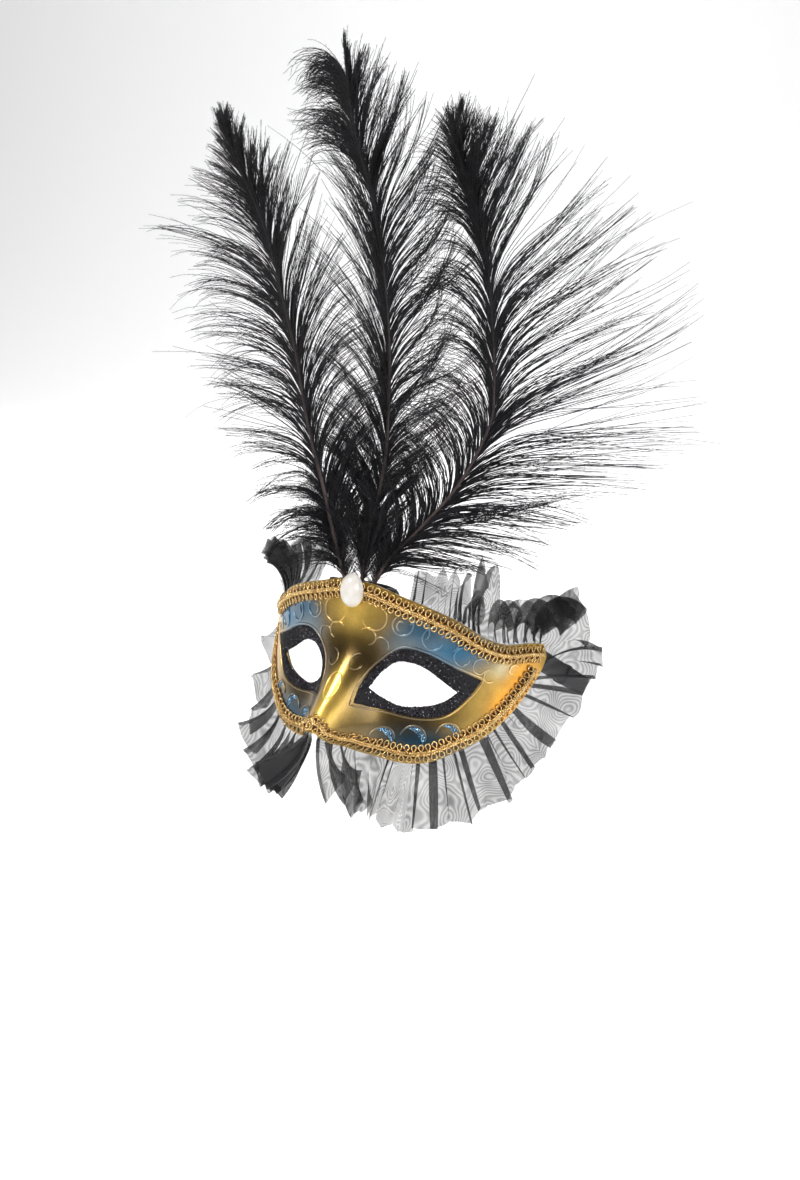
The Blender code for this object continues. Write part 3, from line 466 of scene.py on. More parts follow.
points, faces = tubes(on_wall(stack, np.full(stack.shape[:2], 0.00014)), RELIEF_RADIUS * closed_lines,
                      6, wall_normal(stack[..., 0], stack[..., 1]))
relief = piece("scroll_relief", points, faces, paint, slot="painted_shell")
relief_flat = np.repeat(stack.reshape(-1, 2), 6, axis=0)
# The raised lines take the shell's colours made lighter: a painted highlight along the lines.
colour_points(relief, np.clip(paint_and_highlight_colours(relief_flat) * 1.5 + 0.07, 0, 1))
outward(relief)

# Blue glitter is brushed into the crescents between the cheek scrolls.
rng = np.random.default_rng(11)


def flakes(centres, normals, size, rng, tilt=0.5):
    """Glitter flakes: thin flat-bottomed four-sided chips, each turned and tilted at random."""
    count = len(centres)
    lean = normals + rng.normal(0, tilt, (count, 3))
    lean /= np.linalg.norm(lean, axis=1)[:, None]
    side = np.cross(lean, rng.normal(0, 1, (count, 3)))
    side /= np.linalg.norm(side, axis=1)[:, None]
    other = np.cross(lean, side)
    reach = (size * rng.uniform(0.6, 1.25, count))[:, None]
    corners = np.stack([centres + side * reach, centres + other * reach, centres - side * reach,
                        centres - other * reach, centres + lean * reach * 0.35,
                        centres - lean * reach * 0.35], axis=1)
    tri = np.array([(0, 1, 4), (1, 2, 4), (2, 3, 4), (3, 0, 4), (1, 0, 5), (2, 1, 5), (3, 2, 5), (0, 3, 5)])
    return corners.reshape(-1, 3), (np.arange(count)[:, None, None] * 6 + tri).reshape(-1, 3)


def glitter_material(name, dark, light, roughness):
    """Glitter: each flake takes its own tone and shine from noise over Object coordinates."""
    mat, shader = shader_of(name, roughness, 0.9)
    spot = object_noise(mat, 1500, 0)
    toned(mat, shader, spot.outputs["Fac"], (0.42, dark), (0.66, light))
    rough = node(mat, "ShaderNodeMapRange", {"Value": object_noise(mat, 900, 0).outputs["Fac"],
                                             "From Min": 0.3, "From Max": 0.7,
                                             "To Min": 0.12, "To Max": roughness})
    link(mat, rough.outputs[0], shader.inputs["Roughness"])
    return mat


def crescent_points(count, s0, z0, radius, rng):
    """Random points of the crescent under a cheek scroll, thickest at its middle."""
    t, u = rng.uniform(0, 1, count), rng.uniform(0, 1, count)
    angle = np.radians(120 - 150 * t)
    r = radius - 0.6 - u * 3.0 * np.sin(math.pi * t) ** 0.8
    return np.column_stack([s0 + r * np.cos(angle), z0 + r * np.sin(angle)]) / 1000


blue_glitter = glitter_material("blue_glitter", (0.03, 0.10, 0.22), (0.45, 0.75, 0.95), 0.5)
spots = np.vstack([crescent_points(420, *place, rng) for place in ((24, -74.5, 5.6), (39, -74, 6.8),
                                                                    (57, -71.5, 6.6))])
spots = np.vstack([spots, spots * [-1, 1]])
points, faces = flakes(on_wall(spots, np.full(len(spots), 0.0001)), wall_normal(spots[:, 0], spots[:, 1]),
                       0.00024, rng)
piece("cheek_glitter", points, faces, blue_glitter, slot="painted_shell", smooth=False)

# ---- flocked lining --------------------------------------------------------------------------
# Thin black flocked sheet glued inside the shell, cut away for the ruffle's margin and the
# brow pad. Its short pile catches light at the edges.
LINING_WALL, GAP = 0.0006, 0.0003


def pile_material(name, colour, scale):
    """Flock or felt: soft matt fibres with a sheen and a clumpy, fibrous bump."""
    mat, shader = shader_of(name, 0.95, 0.0, colour)
    cloud = object_noise(mat, scale, 6, 0.7)
    light = tuple(2.4 * c + 0.004 for c in colour)
    toned(mat, shader, cloud.outputs["Fac"], (0.3, colour), (0.75, light))
    set_inputs(shader, Sheen_Weight=0.2, Sheen_Roughness=0.4)
    bump(mat, shader, cloud.outputs["Fac"], 0.6, 0.0005)
    return mat


flock = pile_material("black_flock", (0.007, 0.0065, 0.007), 900)
lining_inset = 0.0008 + 0.007 + 0.0016
lining_half = half_outline(lining_inset)
lining_half = lining_half[lining_half[:, 0] < HALF_GIRTH - 0.024]
notch_out, notch_low = 0.0216, -PEARL_LEVEL - 0.0116
top = lining_half[(lining_half[:, 1] > -0.040) & (lining_half[:, 0] > notch_out + GAP)]
low = lining_half[lining_half[:, 1] <= -0.040]
lining_loop = np.vstack([even_line(np.array([(0, notch_low), (notch_out, notch_low), top[0]]), 40),
                         top[1:], even_line(np.array([top[-1], low[0]]), 20)[1:-1], low,
                         even_line(np.array([low[-1], (0, notch_low)]), 60)[1:-1]])
lining_hole = eye_loop(EYE_UPPER, EYE_LOWER, 160, 0.0008)
lining_flat = ring_sheet(lining_hole, lining_loop, 300, 22)
both = []
for flat in (lining_flat, mirror_flat(lining_flat)):
    points, faces = thick_rings(flat, -SHELL_WALL - 0.0001, -SHELL_WALL - GAP - LINING_WALL)
    both.append((points.reshape(-1, 3), faces))
outward(piece("flocked_lining", *joined(both), flock, slot="black_flock", stands_for=["back_lining"]))

# ---- glitter eye bands -------------------------------------------------------------------------
# Black glitter sifted on wet glue round each eye opening, spilling over its edge. A grainy
# bed carries several thousand chips.
black_glitter = glitter_material("black_glitter", (0.004, 0.004, 0.006), (0.06, 0.055, 0.07), 0.55)
spark = glitter_material("glitter_sparks", (0.02, 0.02, 0.03), (0.85, 0.83, 0.95), 0.3)
bed_mat, bed_shader = shader_of("glitter_bed", 0.75, 0.1, (0.006, 0.006, 0.008))
grain = object_noise(bed_mat, 1800, 3)
bump(bed_mat, bed_shader, grain.outputs["Fac"], 0.9, 0.0006)
band_outer = eye_loop(BAND_UPPER, BAND_LOWER)
band_flat = ring_sheet(eye_loop(EYE_UPPER, EYE_LOWER, 160, 0.0), band_outer, 320, 9)
for word, side in (("right", 1), ("left", -1)):
    rng = np.random.default_rng(5 + side)
    rounded = 0.00065 * np.sqrt(np.clip(1 - np.linspace(-1, 1, 9) ** 4, 0.02, 1))[:, None]
    grains = rounded * (1 + 0.25 * rng.normal(0, 1, band_flat.shape[:2]))
    flat = band_flat if side > 0 else mirror_flat(band_flat)
    loop = np.concatenate([on_wall(flat, grains), on_wall(flat[::-1], np.full(grains.shape, 0.00002))])
    outward(piece("glitter_bed_" + word, loop, grid_faces(18, 320, True, True), bed_mat,
                  slot="black_glitter", stands_for=["eye_glitter_band_" + word]))
    pick = rng.integers(0, 320, 9000), rng.uniform(0.0, 1.0, 9000) * 8
    lower = np.floor(pick[1]).astype(int).clip(0, 7)
    share = (pick[1] - lower)[:, None]
    spots = flat[lower, pick[0]] * (1 - share) + flat[lower + 1, pick[0]] * share
    spots = spots + rng.normal(0, 0.00025, spots.shape)
    high = 0.00055 * np.sqrt(np.clip(1 - (pick[1] / 4 - 1) ** 4, 0.05, 1)) + 0.0001
    centres, normals = on_wall(spots, high), wall_normal(spots[:, 0], spots[:, 1])
    bright = rng.uniform(0, 1, 9000) < 0.07
    for name, mat, which in (("glitter_" + word, black_glitter, ~bright), ("sparks_" + word, spark, bright)):
        points, faces = flakes(centres[which], normals[which], 0.00026, rng)
        piece(name, points, faces, mat, slot="black_glitter", smooth=False)

# ---- gimp braid ------------------------------------------------------------------------------
# Gimp braid is woven from cords wrapped in gold yarn: a plaited middle with a row of open
# loops on each side, over a strip of ground whose dark rust tone is painted shade inside the
# loops. It is glued along the shell's edge.
LOOP_PITCH, CORD_RADIUS = 0.0039, 0.00045


def yarn_material():
    """Gold yarn wrapped round a cord: fine slanted turns, with painted shade between them and a painted
    highlight on top of each turn.
    """
    mat, shader = shader_of("gold_yarn", 0.24, 0.95)
    where = node(mat, "ShaderNodeTexCoord").outputs["UV"]
    turns = node(mat, "ShaderNodeTexWave", {"Vector": where, "Scale": 1.0, "Distortion": 0.4},
                 wave_type="BANDS", bands_direction="X")
    # The ramp puts painted shade between the turns of yarn and a painted highlight on their crests.
    tone = ramp(mat, turns.outputs["Fac"], [(0.15, (0.48, 0.26, 0.06)), (0.6, (1.0, 0.80, 0.40))])
    cloud = object_noise(mat, 260, 2)
    vary = ramp(mat, cloud.outputs["Fac"], [(0.3, (0.72, 0.66, 0.6)), (0.7, (1.15, 1.1, 1.05))])
    link(mat, multiplied(mat, tone.outputs[0], vary.outputs[0]), shader.inputs["Base Color"])
    bump(mat, shader, turns.outputs["Fac"], 0.5, 0.00015)
    return mat


def add_cord_uv(obj, lengths, sides, rings):
    """UV map of cords: U runs along each cord in millimetres times 3, V goes round it."""
    along = np.repeat(lengths, sides, axis=-1).ravel() * 3000
    around = np.tile(np.arange(sides) / sides, rings)
    uv = obj.data.uv_layers.new(name="cord")
    loop_points = np.zeros(len(obj.data.loops), int)
    obj.data.loops.foreach_get("vertex_index", loop_points)
    uv.data.foreach_set("uv", np.column_stack([along[loop_points], around[loop_points]]).ravel())


def wall_run(line):
    """Length along a flat line once it lies on the wall."""
    return np.concatenate([[0], np.cumsum(np.linalg.norm(np.diff(wall_middle(*line.T), axis=0), axis=1))])


def lay_along(line, along, across, outer):
    """Flat points at distances along a line and across it, both measured on the wall. Where
    the wall is steep, the line moves out so that the braid keeps to the shell's edge."""
    run = wall_run(line)
    normals = side_normals(line)
    step = 0.0005
    stretch = np.linalg.norm(wall_middle(*(line + normals * step).T)
                             - wall_middle(*(line - normals * step).T), axis=1) / (2 * step)
    normals = normals / stretch[:, None]
    edge = line + normals * (outer * EDGE_OUT * (stretch - 1))[:, None]
    at = np.column_stack([np.interp(along, run, edge[:, i]) for i in range(2)])
    aside = np.column_stack([np.interp(along, run, normals[:, i]) for i in range(2)])
    return at + aside * across[:, None]


def braid_cords(line, rng):
    """Cords of one length of braid as flat paths with heights. Each edge cord follows a
    trochoid, along = pitch turn / 2 pi - b sin(turn), across = c + a cos(turn), whose open
    loops point outwards; three strands are plaited over the crossings in the middle."""
    total = wall_run(line)[-1]
    loops = int(total / LOOP_PITCH)
    t = np.linspace(0, 1, loops * 22)
    turn = t * loops * 2 * math.pi
    jitter = np.interp(t, np.linspace(0, 1, loops + 1), rng.normal(0, 1, loops + 1))
    cords = []
    for side in (1, -1):
        phase = turn + (side < 0) * math.pi + 0.12 * jitter
        along = t * total - 0.0022 * np.sin(phase)
        across = side * (0.00255 + (0.00205 + 0.0001 * jitter) * np.cos(phase))
        height = 0.00105 - 0.00035 * np.cos(phase) + 0.00028 * np.sin(phase) + 0.00006 * jitter
        cords.append((along.clip(0, total), across, height))
    for k in range(3):
        plait = turn + k * 2 * math.pi / 3
        cords.append(((t * total).clip(0, total), 0.00085 * np.sin(plait),
                      0.00185 + 0.00036 * np.sin(2 * plait)))
    return cords


def make_braid(name, node_name, line, outer, rng, mat, shaded_ground):
    parts, runs = [], []
    for along, across, height in braid_cords(line, rng):
        flat = lay_along(line, along, across, outer)
        path = on_wall(flat, height)
        parts.append(tubes(path, CORD_RADIUS, 6, wall_normal(flat[:, 0], flat[:, 1])))
        runs.append(np.concatenate([[0], np.cumsum(np.linalg.norm(np.diff(path, axis=0), axis=1))]))
    obj = piece(name, *joined(parts), mat, slot="gold_gimp_braid", stands_for=[node_name])
    add_cord_uv(obj, np.concatenate(runs)[:, None], 6, sum(len(r) for r in runs))
    total = wall_run(line)[-1]
    along = np.linspace(0.0006, total - 0.0006, int(total / 0.0012))
    across = np.array([-0.0029, -0.0024, -0.0012, 0, 0.0012, 0.0024, 0.0029])
    rows = np.stack([lay_along(line, along, np.full(len(along), a), outer) for a in across], axis=1)
    crown = np.array([0.0001, 0.00035, 0.0006, 0.0010, 0.0006, 0.00035, 0.0001])
    top = on_wall(rows, np.broadcast_to(crown, rows.shape[:2]))
    bottom = on_wall(rows, np.full(rows.shape[:2], 0.00002))
    skin = np.concatenate([top, bottom[:, ::-1]], axis=1)
    outward(piece(name + "_ground", skin, capped(len(along), 14), shaded_ground, slot="gold_gimp_braid"))


yarn = yarn_material()
# The ground strip under the cords is coloured dark rust: painted shade seen through the open loops.
shaded_ground, shaded_ground_shader = shader_of("braid_ground_painted_shade", 0.8, 0.1, (0.10, 0.035, 0.006))
weave = object_noise(shaded_ground, 1400, 2)
toned(shaded_ground, shaded_ground_shader, weave.outputs["Fac"], (0.3, (0.030, 0.010, 0.002)), (0.7, (0.17, 0.06, 0.010)))
bump(shaded_ground, shaded_ground_shader, weave.outputs["Fac"], 0.8, 0.0003)
rng = np.random.default_rng(21)
BRAID_JOINT = 0.011
low_half = LOW_BRAID[:-8][::-1]
over_nose = (LOW_BRAID * [-1, 1])[1:][LOW_BRAID[1:, 0] < BRAID_JOINT + 0.002]
mirror_line = np.array([-1, 1])
make_braid("gimp_top_right", "braid_top_right", TOP_BRAID, 1, rng, yarn, shaded_ground)
make_braid("gimp_top_left", "braid_top_left", TOP_BRAID * mirror_line, -1, rng, yarn, shaded_ground)
make_braid("gimp_low_right", "braid_low_right", np.vstack([low_half, over_nose]), 1, rng, yarn, shaded_ground)
make_braid("gimp_low_left", "braid_low_left", low_half[low_half[:, 0] > BRAID_JOINT] * mirror_line, -1, rng,
           yarn, shaded_ground)

# ---- pearl -------------------------------------------------------------------------------------
# Flat-backed oval pearl, 13 by 18 mm, moulded and dipped in pearl lacquer, glued over the
# place where the two top lengths of braid meet. Its surface has slight dimples.
PEARL_HALF = np.array([0.0065, 0.0065, 0.0090])
PEARL_BACK = -FRONT_OFFSET - 0.0005 - 0.0018 - 0.0013
tilt = np.linspace(0, math.pi / 2, 26)[:-1]
turn = np.linspace(0, 2 * math.pi, 64, endpoint=False)
dimple = 1 + 0.012 * np.sin(3 * turn + 1)[None] * np.sin(2 * tilt)[:, None]
fat = np.cos(tilt)[:, None] ** 0.85
pearl_points = np.stack([PEARL_HALF[0] * fat * np.cos(turn) * dimple,
                         PEARL_BACK - PEARL_HALF[1] * np.sin(tilt)[:, None] * dimple,
                         PEARL_LEVEL + PEARL_HALF[2] * fat * np.sin(turn) * dimple], axis=-1)
pearl_mat, pearl_shader = shader_of("pearl_lacquer", 0.25, 0.0, (0.70, 0.67, 0.62))
lustre = object_noise(pearl_mat, 160, 2)
toned(pearl_mat, pearl_shader, lustre.outputs["Fac"], (0.3, (0.62, 0.57, 0.50)), (0.7, (0.78, 0.76, 0.73)))
set_inputs(pearl_shader, Coat_Weight=0.7, Coat_Roughness=0.12, Sheen_Weight=0.3,
           Subsurface_Weight=0.15, Subsurface_Radius=(0.002, 0.0015, 0.001))
bump(pearl_mat, pearl_shader, object_noise(pearl_mat, 500, 2).outputs["Fac"], 0.06, 0.0003)
outward(piece("oval_pearl", pearl_points, capped(len(tilt), 64), pearl_mat, slot="pearl",
              stands_for=["pearl_cabochon"]))

# ---- organza ruffle ------------------------------------------------------------------------
# A strip of black organza, gathered on a thread to under half its length, glued inside the
# shell's edge. It stands out past the edge in folds that fan open and partly lie over each
# other. The sheer weave shows watered rings where two layers cross.
RUFFLE_WIDTH, RUFFLE_MARGIN, EDGE_MARGIN, CURVED_GAP = 0.038, 0.007, 0.0008, 0.0005
RUFFLE_ROWS, RUFFLE_ENDS = 34, (0.029, 0.0030)


def organza_material():
    """Sheer black weave. Watered silk marks are the contour lines of a smooth noise,
    sin(170 noise), and they thicken and thin the weave."""
    mat, shader = shader_of("black_organza", 0.42, 0.0, (0.004, 0.004, 0.006))
    field = object_noise(mat, 42, 1.0, 0.4)
    phase = node(mat, "ShaderNodeMath", {0: field.outputs["Fac"], 1: 170.0}, operation="MULTIPLY")
    lines = node(mat, "ShaderNodeMath", {0: phase.outputs[0]}, operation="SINE")
    watered = node(mat, "ShaderNodeMapRange", {"Value": lines.outputs[0], "From Min": -1.0,
                                               "To Min": 0.58, "To Max": 0.75})
    cloud = object_noise(mat, 60, 3)
    cloudy = node(mat, "ShaderNodeMapRange", {"Value": cloud.outputs["Fac"], "From Min": 0.3,
                                              "From Max": 0.7, "To Min": -0.06, "To Max": 0.12})
    alpha = node(mat, "ShaderNodeMath", {0: watered.outputs[0], 1: cloudy.outputs[0]}, operation="ADD")
    link(mat, alpha.outputs[0], shader.inputs["Alpha"])
    set_inputs(shader, Sheen_Weight=0.2, Specular_IOR_Level=0.35)
    return mat


def ruffle_line(count, first, last):
    """Gathered edge of a ruffle and each fold's way: it follows the shell's edge from the
    top to the underside of the nose; angles and flare turn from up to down along it."""
    edge = half_outline(0.0)
    start = np.argmax(edge[:, 0] > first)
    stop = len(edge) - np.argmax(edge[::-1, 0] > last)
    line = smooth_line(edge[start:stop:6], count)
    whole = np.linspace(0, 1, count)
    share = np.interp(whole, [0, 0.86, 1], [0, 1, 1.16])
    angle = np.interp(share, [0, 0.30, 0.44, 0.52, 0.62, 0.80, 1.0, 1.16],
                      [88, 94, 86, 10, -38, -66, -100, -92])
    return line, share, np.radians(angle)


def bumps(count, knots, spread, rng):
    """Smooth random line of a given spread: a curve through evenly placed random values."""
    values = np.column_stack([np.arange(knots), rng.normal(0, spread, knots)])
    curve = smooth_line(values, count * 2)
    return np.interp(np.linspace(0, knots - 1, count), curve[:, 0], curve[:, 1])


def ruffle_surface(rng, folds, flare_of, depth_of, curl_of, reach_of, count=1300):
    """Grid of the ruffle. Along a row, height = a sin(turn) off the cloth's middle, growing
    from the gathers to the hem, and slip = -b pitch sin(2 turn) along the edge, so that each
    fold laps over the next; curl bends the free part forward about the edge."""
    line, share, angle = ruffle_line(count, *RUFFLE_ENDS)
    way = np.column_stack([np.cos(angle), np.sin(angle)])
    inward = -side_normals(line) * np.sign(np.sum(side_normals(line) * way, axis=1))[:, None]
    top = -SHELL_WALL - CURVED_GAP - 0.0002
    base = on_wall(line + inward * EDGE_MARGIN, np.full(count, top))
    normal = wall_normal(*(line + inward * EDGE_MARGIN).T)
    out = on_wall(line + inward * EDGE_MARGIN + way * 0.0005, np.full(count, top)) - base
    out /= np.linalg.norm(out, axis=1)[:, None]
    flare = np.radians(np.interp(share, *flare_of))
    out, normal = (out * np.cos(flare)[:, None] + normal * np.sin(flare)[:, None],
                   normal * np.cos(flare)[:, None] - out * np.sin(flare)[:, None])
    side = np.cross(normal, out)
    pace = np.clip(1 + bumps(count, 60, 0.35, rng), 0.35, 2.0)
    pace *= np.interp(share, [0, 0.14, 0.2, 0.42, 0.5, 0.88, 0.98, 1.16], [1, 1.5, 2, 2, 1, 1, 2.2, 2.4])
    turn = np.cumsum(pace) / pace.sum() * folds * 2 * math.pi
    depth = np.interp(share, *depth_of) * np.clip(1 + bumps(count, 50, 0.3, rng), 0.4, 1.8)
    curl = np.interp(share, *curl_of) * np.clip(1 + bumps(count, 40, 0.25, rng), 0.3, 1.7)
    reach = np.interp(share, *reach_of) * (1 + bumps(count, 70, 0.03, rng))
    rows = []
    for inset in (RUFFLE_MARGIN, RUFFLE_MARGIN * 0.5, EDGE_MARGIN):
        flat = line + inward * inset
        rows.append(on_wall(flat, top + 0.00018 * np.sin(turn)))
    drift = bumps(count, 90, 0.5, rng)
    pleat = np.clip(1 + bumps(count, 46, 0.55, rng), 0.3, 2.2)
    for t in np.linspace(0, 1, RUFFLE_ROWS)[1:]:
        away = EDGE_MARGIN + reach * t
        bent = curl * t
        radius = away / np.maximum(np.abs(bent), 1e-4)
        forward = np.sign(bent) * radius * (1 - np.cos(bent))
        outward_by = radius * np.sin(np.abs(bent))
        here_normal = normal * np.cos(bent)[:, None] - out * np.sin(bent)[:, None]
        open_up = 0.10 + 0.90 * t ** 0.8
        lift = depth * open_up * (np.sin(turn + drift * t) + 0.22 * np.sin(0.43 * turn + 3 * drift))
        spacing = np.abs(np.gradient(turn))
        pitch = 2 * math.pi * (np.linalg.norm(np.gradient(base + out * away[:, None], axis=0), axis=1)
                               / spacing)
        slip = -0.17 * pitch * pleat * (1 - 0.45 * t) * np.sin(2 * (turn + drift * t))
        rows.append(base + out * outward_by[:, None] + normal * forward[:, None]
                    + here_normal * lift[:, None] + side * slip[:, None])
    return np.stack(rows, axis=1)


organza = organza_material()
right_folds = ruffle_surface(
    np.random.default_rng(31), 30,
    ([0, 0.2, 0.34, 0.44, 0.52, 0.70, 0.9, 1.0, 1.16], [-32, -36, -32, -10, 8, -4, -4, 12, 20]),
    ([0, 0.2, 0.4, 0.5, 0.6, 0.85, 1.0, 1.16],
     [0.0035, 0.0065, 0.008, 0.005, 0.0026, 0.0028, 0.0075, 0.0075]),
    ([0, 0.08, 0.16, 0.40, 0.50, 0.60, 0.9, 1.0, 1.16], [0.3, 1.0, 2.6, 3.0, 1.0, 0.1, 0.0, 0.7, 0.9]),
    ([0, 0.08, 0.16, 0.40, 0.50, 0.58, 0.84, 1.0, 1.16],
     [0.015, 0.019, 0.034, 0.041, 0.034, 0.036, 0.040, 0.033, 0.030]))
left_folds = ruffle_surface(
    np.random.default_rng(47), 27,
    ([0, 0.2, 0.34, 0.52, 0.70, 0.9, 1.0, 1.16], [-32, -26, -10, 6, 4, 10, 18, 22]),
    ([0, 0.25, 0.4, 0.6, 0.85, 1.0, 1.16], [0.0035, 0.005, 0.006, 0.005, 0.0060, 0.0075, 0.0075]),
    ([0, 0.12, 0.3, 0.44, 0.54, 0.9, 1.0, 1.16], [0.2, 0.6, 1.4, 1.2, 0.6, 0.8, 0.8, 0.7]),
    ([0, 0.15, 0.35, 0.5, 0.8, 1.0, 1.16], [0.020, 0.027, 0.032, 0.030, 0.032, 0.034, 0.031]))
for word, grid in (("right", right_folds), ("left", left_folds * [-1, 1, 1])):
    cloth = piece("organza_ruffle_cloth_" + word, grid, grid_faces(*grid.shape[:2]), organza,
                  slot="black_organza", stands_for=["organza_ruffle_" + word])

# ---- gathering tape ---------------------------------------------------------------------------
# Narrow woven tape stitched over the gathers on the inside.
TAPE_WIDTH, TAPE_WALL, RUFFLE_THIN = 0.005, 0.0005, 0.0006
tape_mat, tape_shader = shader_of("woven_tape", 0.85, 0.0, (0.02, 0.02, 0.022))
where = node(tape_mat, "ShaderNodeTexCoord").outputs["Object"]
ribs = node(tape_mat, "ShaderNodeTexWave", {"Vector": where, "Scale": 420.0, "Distortion": 1.5})
toned(tape_mat, tape_shader, ribs.outputs["Fac"], (0.2, (0.008, 0.008, 0.009)), (0.8, (0.05, 0.05, 0.055)))
bump(tape_mat, tape_shader, ribs.outputs["Fac"], 0.6, 0.0002)
tape_outer = -SHELL_WALL - 2 * CURVED_GAP - RUFFLE_THIN
line, _, _ = ruffle_line(420, *RUFFLE_ENDS)
towards_middle = np.array([0.050, -0.045]) - line
inward = side_normals(line)
inward *= np.sign(np.sum(inward * towards_middle, axis=1))[:, None]
line, inward = line[12:360], inward[12:360]
for word, side in (("right", 1), ("left", -1)):
    across = np.array([-0.5, -0.3, 0.3, 0.5]) * TAPE_WIDTH + EDGE_MARGIN + 0.0006 + TAPE_WIDTH / 2
    flat = (line[:, None] + inward[:, None] * across[:, None]) * [side, 1]
    rib = 0.00005 * np.sin(np.arange(len(line)) * 2.2)[:, None] * np.array([0, 1, 1, 0])
    front, back = on_wall(flat, tape_outer + rib), on_wall(flat, tape_outer - TAPE_WALL + rib)
    skin = np.concatenate([front, back[:, ::-1]], axis=1)
    outward(piece("gathering_tape_" + word, skin, capped(len(line), 8), tape_mat, slot="gather_tape",
                  stands_for=["gather_tape_" + word]))

# ---- brow pad and spacer ---------------------------------------------------------------------
# Felt pad that rests on the forehead, over a U of foam. The foam keeps a pocket open for the
# roots of the plumes, and the felt closes it behind.
PAD_HALF, PAD_REACH, PAD_WALL, PAD_RIM = 0.021, 0.011, 0.003, 0.006
felt = pile_material("brow_felt", (0.008, 0.008, 0.009), 700)
foam_mat, foam_shader = shader_of("brow_foam", 0.92, 0.0, (0.022, 0.022, 0.024))
cells = node(foam_mat, "ShaderNodeTexVoronoi",
             {"Vector": node(foam_mat, "ShaderNodeTexCoord").outputs["Object"], "Scale": 1300.0})
toned(foam_mat, foam_shader, cells.outputs["Distance"], (0.1, (0.003, 0.003, 0.004)),
      (0.6, (0.025, 0.025, 0.027)))
bump(foam_mat, foam_shader, cells.outputs["Distance"], 0.8, 0.0004)


def squared_loop(turn, power):
    """Closed loop with round corners that fills a square: cosine and sine to a power."""
    loop = np.column_stack([np.cos(turn), np.sin(turn)])
    loop = np.sign(loop) * np.abs(loop) ** power
    return loop / np.abs(loop).max(axis=0)


def cushion(outline, front, back):
    """Soft slab: rings of the outline from the middle of one face, round its edge, to the
    middle of the other."""
    shares = [0.05, 0.4, 0.7, 0.88, 0.96, 1.0, 1.0, 0.96, 0.88, 0.7, 0.4, 0.05]
    depth = [0, 0, 0, 0.04, 0.16, 0.5, 0.5, 0.16, 0.04, 0, 0, 0]
    rings = []
    for k, (share, d) in enumerate(zip(shares, depth)):
        ring = outline * share
        y = front + (back - front) * d if k < 6 else back - (back - front) * d
        rings.append(np.column_stack([ring[:, 0], np.full(len(ring), y), ring[:, 1]]))
    return np.stack(rings), capped(12, len(outline))


turn = np.linspace(0, 2 * math.pi, 96, endpoint=False)
pad_outline = squared_loop(turn, 0.42) * [PAD_HALF, PAD_REACH]
pad = outward(piece("felt_pad", *cushion(pad_outline, -PAD_WALL, 0.0), felt, slot="brow_felt",
                    stands_for=["brow_pad"]))
u_line = np.array([(-0.018, 0.0105), (-0.018, 0.002), (-0.018, -0.004), (-0.0155, -0.0078),
                   (-0.009, -0.0083), (0.0, -0.0083), (0.009, -0.0083), (0.0155, -0.0078),
                   (0.018, -0.004), (0.018, 0.002), (0.018, 0.0105)])
u_line = smooth_line(u_line, 110)
u_side = side_normals(u_line)
u_half = PAD_RIM / 2 - 0.0004
rows = []
for across, sink in ((-1, 0.4), (-0.85, 0.08), (0, 0), (0.85, 0.08), (1, 0.4)):
    at = u_line + u_side * u_half * across
    wall = on_wall(np.column_stack([at[:, 0], at[:, 1] - PEARL_LEVEL]), np.full(110, -SHELL_WALL - GAP))
    back = -PAD_WALL - GAP
    deep = back - wall[:, 1]
    rows.append((wall + [0, 1, 0] * (deep * sink)[:, None],
                 np.column_stack([wall[:, 0], back - deep * sink, wall[:, 2]])))
skin = np.stack([r[0] for r in rows] + [r[1] for r in rows[::-1]], axis=1)
spacer = outward(piece("foam_spacer", skin, capped(110, 10), foam_mat, slot="brow_foam",
                       stands_for=["brow_pad_spacer"]))

# ---- plumes ------------------------------------------------------------------------------------
# Three ostrich plumes. Each quill is bare at its foot and carries two rows of long soft barbs;
# every barb has its own fine barbules. Barbs cling together in locks, and the tips bend over.
QUILL_RADIUS, QUILL_TIP_RADIUS, PLUME_HEIGHT = 0.0015, 0.0005, 0.250
ROOT_DEPTH, ROOT_PITCH, POCKET_MIDDLE, BOUND_HEIGHT = 0.014, 0.0056, -0.0065, 0.008
SHELL_TOP = PEARL_LEVEL + TOP_BRAID[0, 1] + EDGE_OUT
QUILLS = {
    "left": [(-0.045, 0.02), (-0.071, 0.11), (-0.094, 0.213), (-0.122, 0.288), (-0.152, 0.383),
             (-0.172, 0.461), (-0.210, 0.562), (-0.264, 0.702), (-0.345, 0.861), (-0.372, 0.940)],
    "middle": [(0.002, 0.03), (0.013, 0.123), (0.026, 0.206), (0.034, 0.286), (0.030, 0.386),
               (0.020, 0.50), (-0.004, 0.624), (-0.040, 0.770), (-0.086, 0.90), (-0.112, 1.02)],
    "right": [(0.034, 0.02), (0.066, 0.076), (0.113, 0.132), (0.192, 0.239), (0.241, 0.351),
              (0.243, 0.421), (0.221, 0.553), (0.199, 0.637), (0.163, 0.742), (0.100, 0.86),
              (0.066, 0.94)]}
# Each plume's millimetres back once clear of the mask, lean back, and bend of its tip.
SETBACK = {"left": (-6.0, 0.03, -10.0), "middle": (3.0, 0.06, -8.0), "right": (10.0, 0.12, 4.0)}
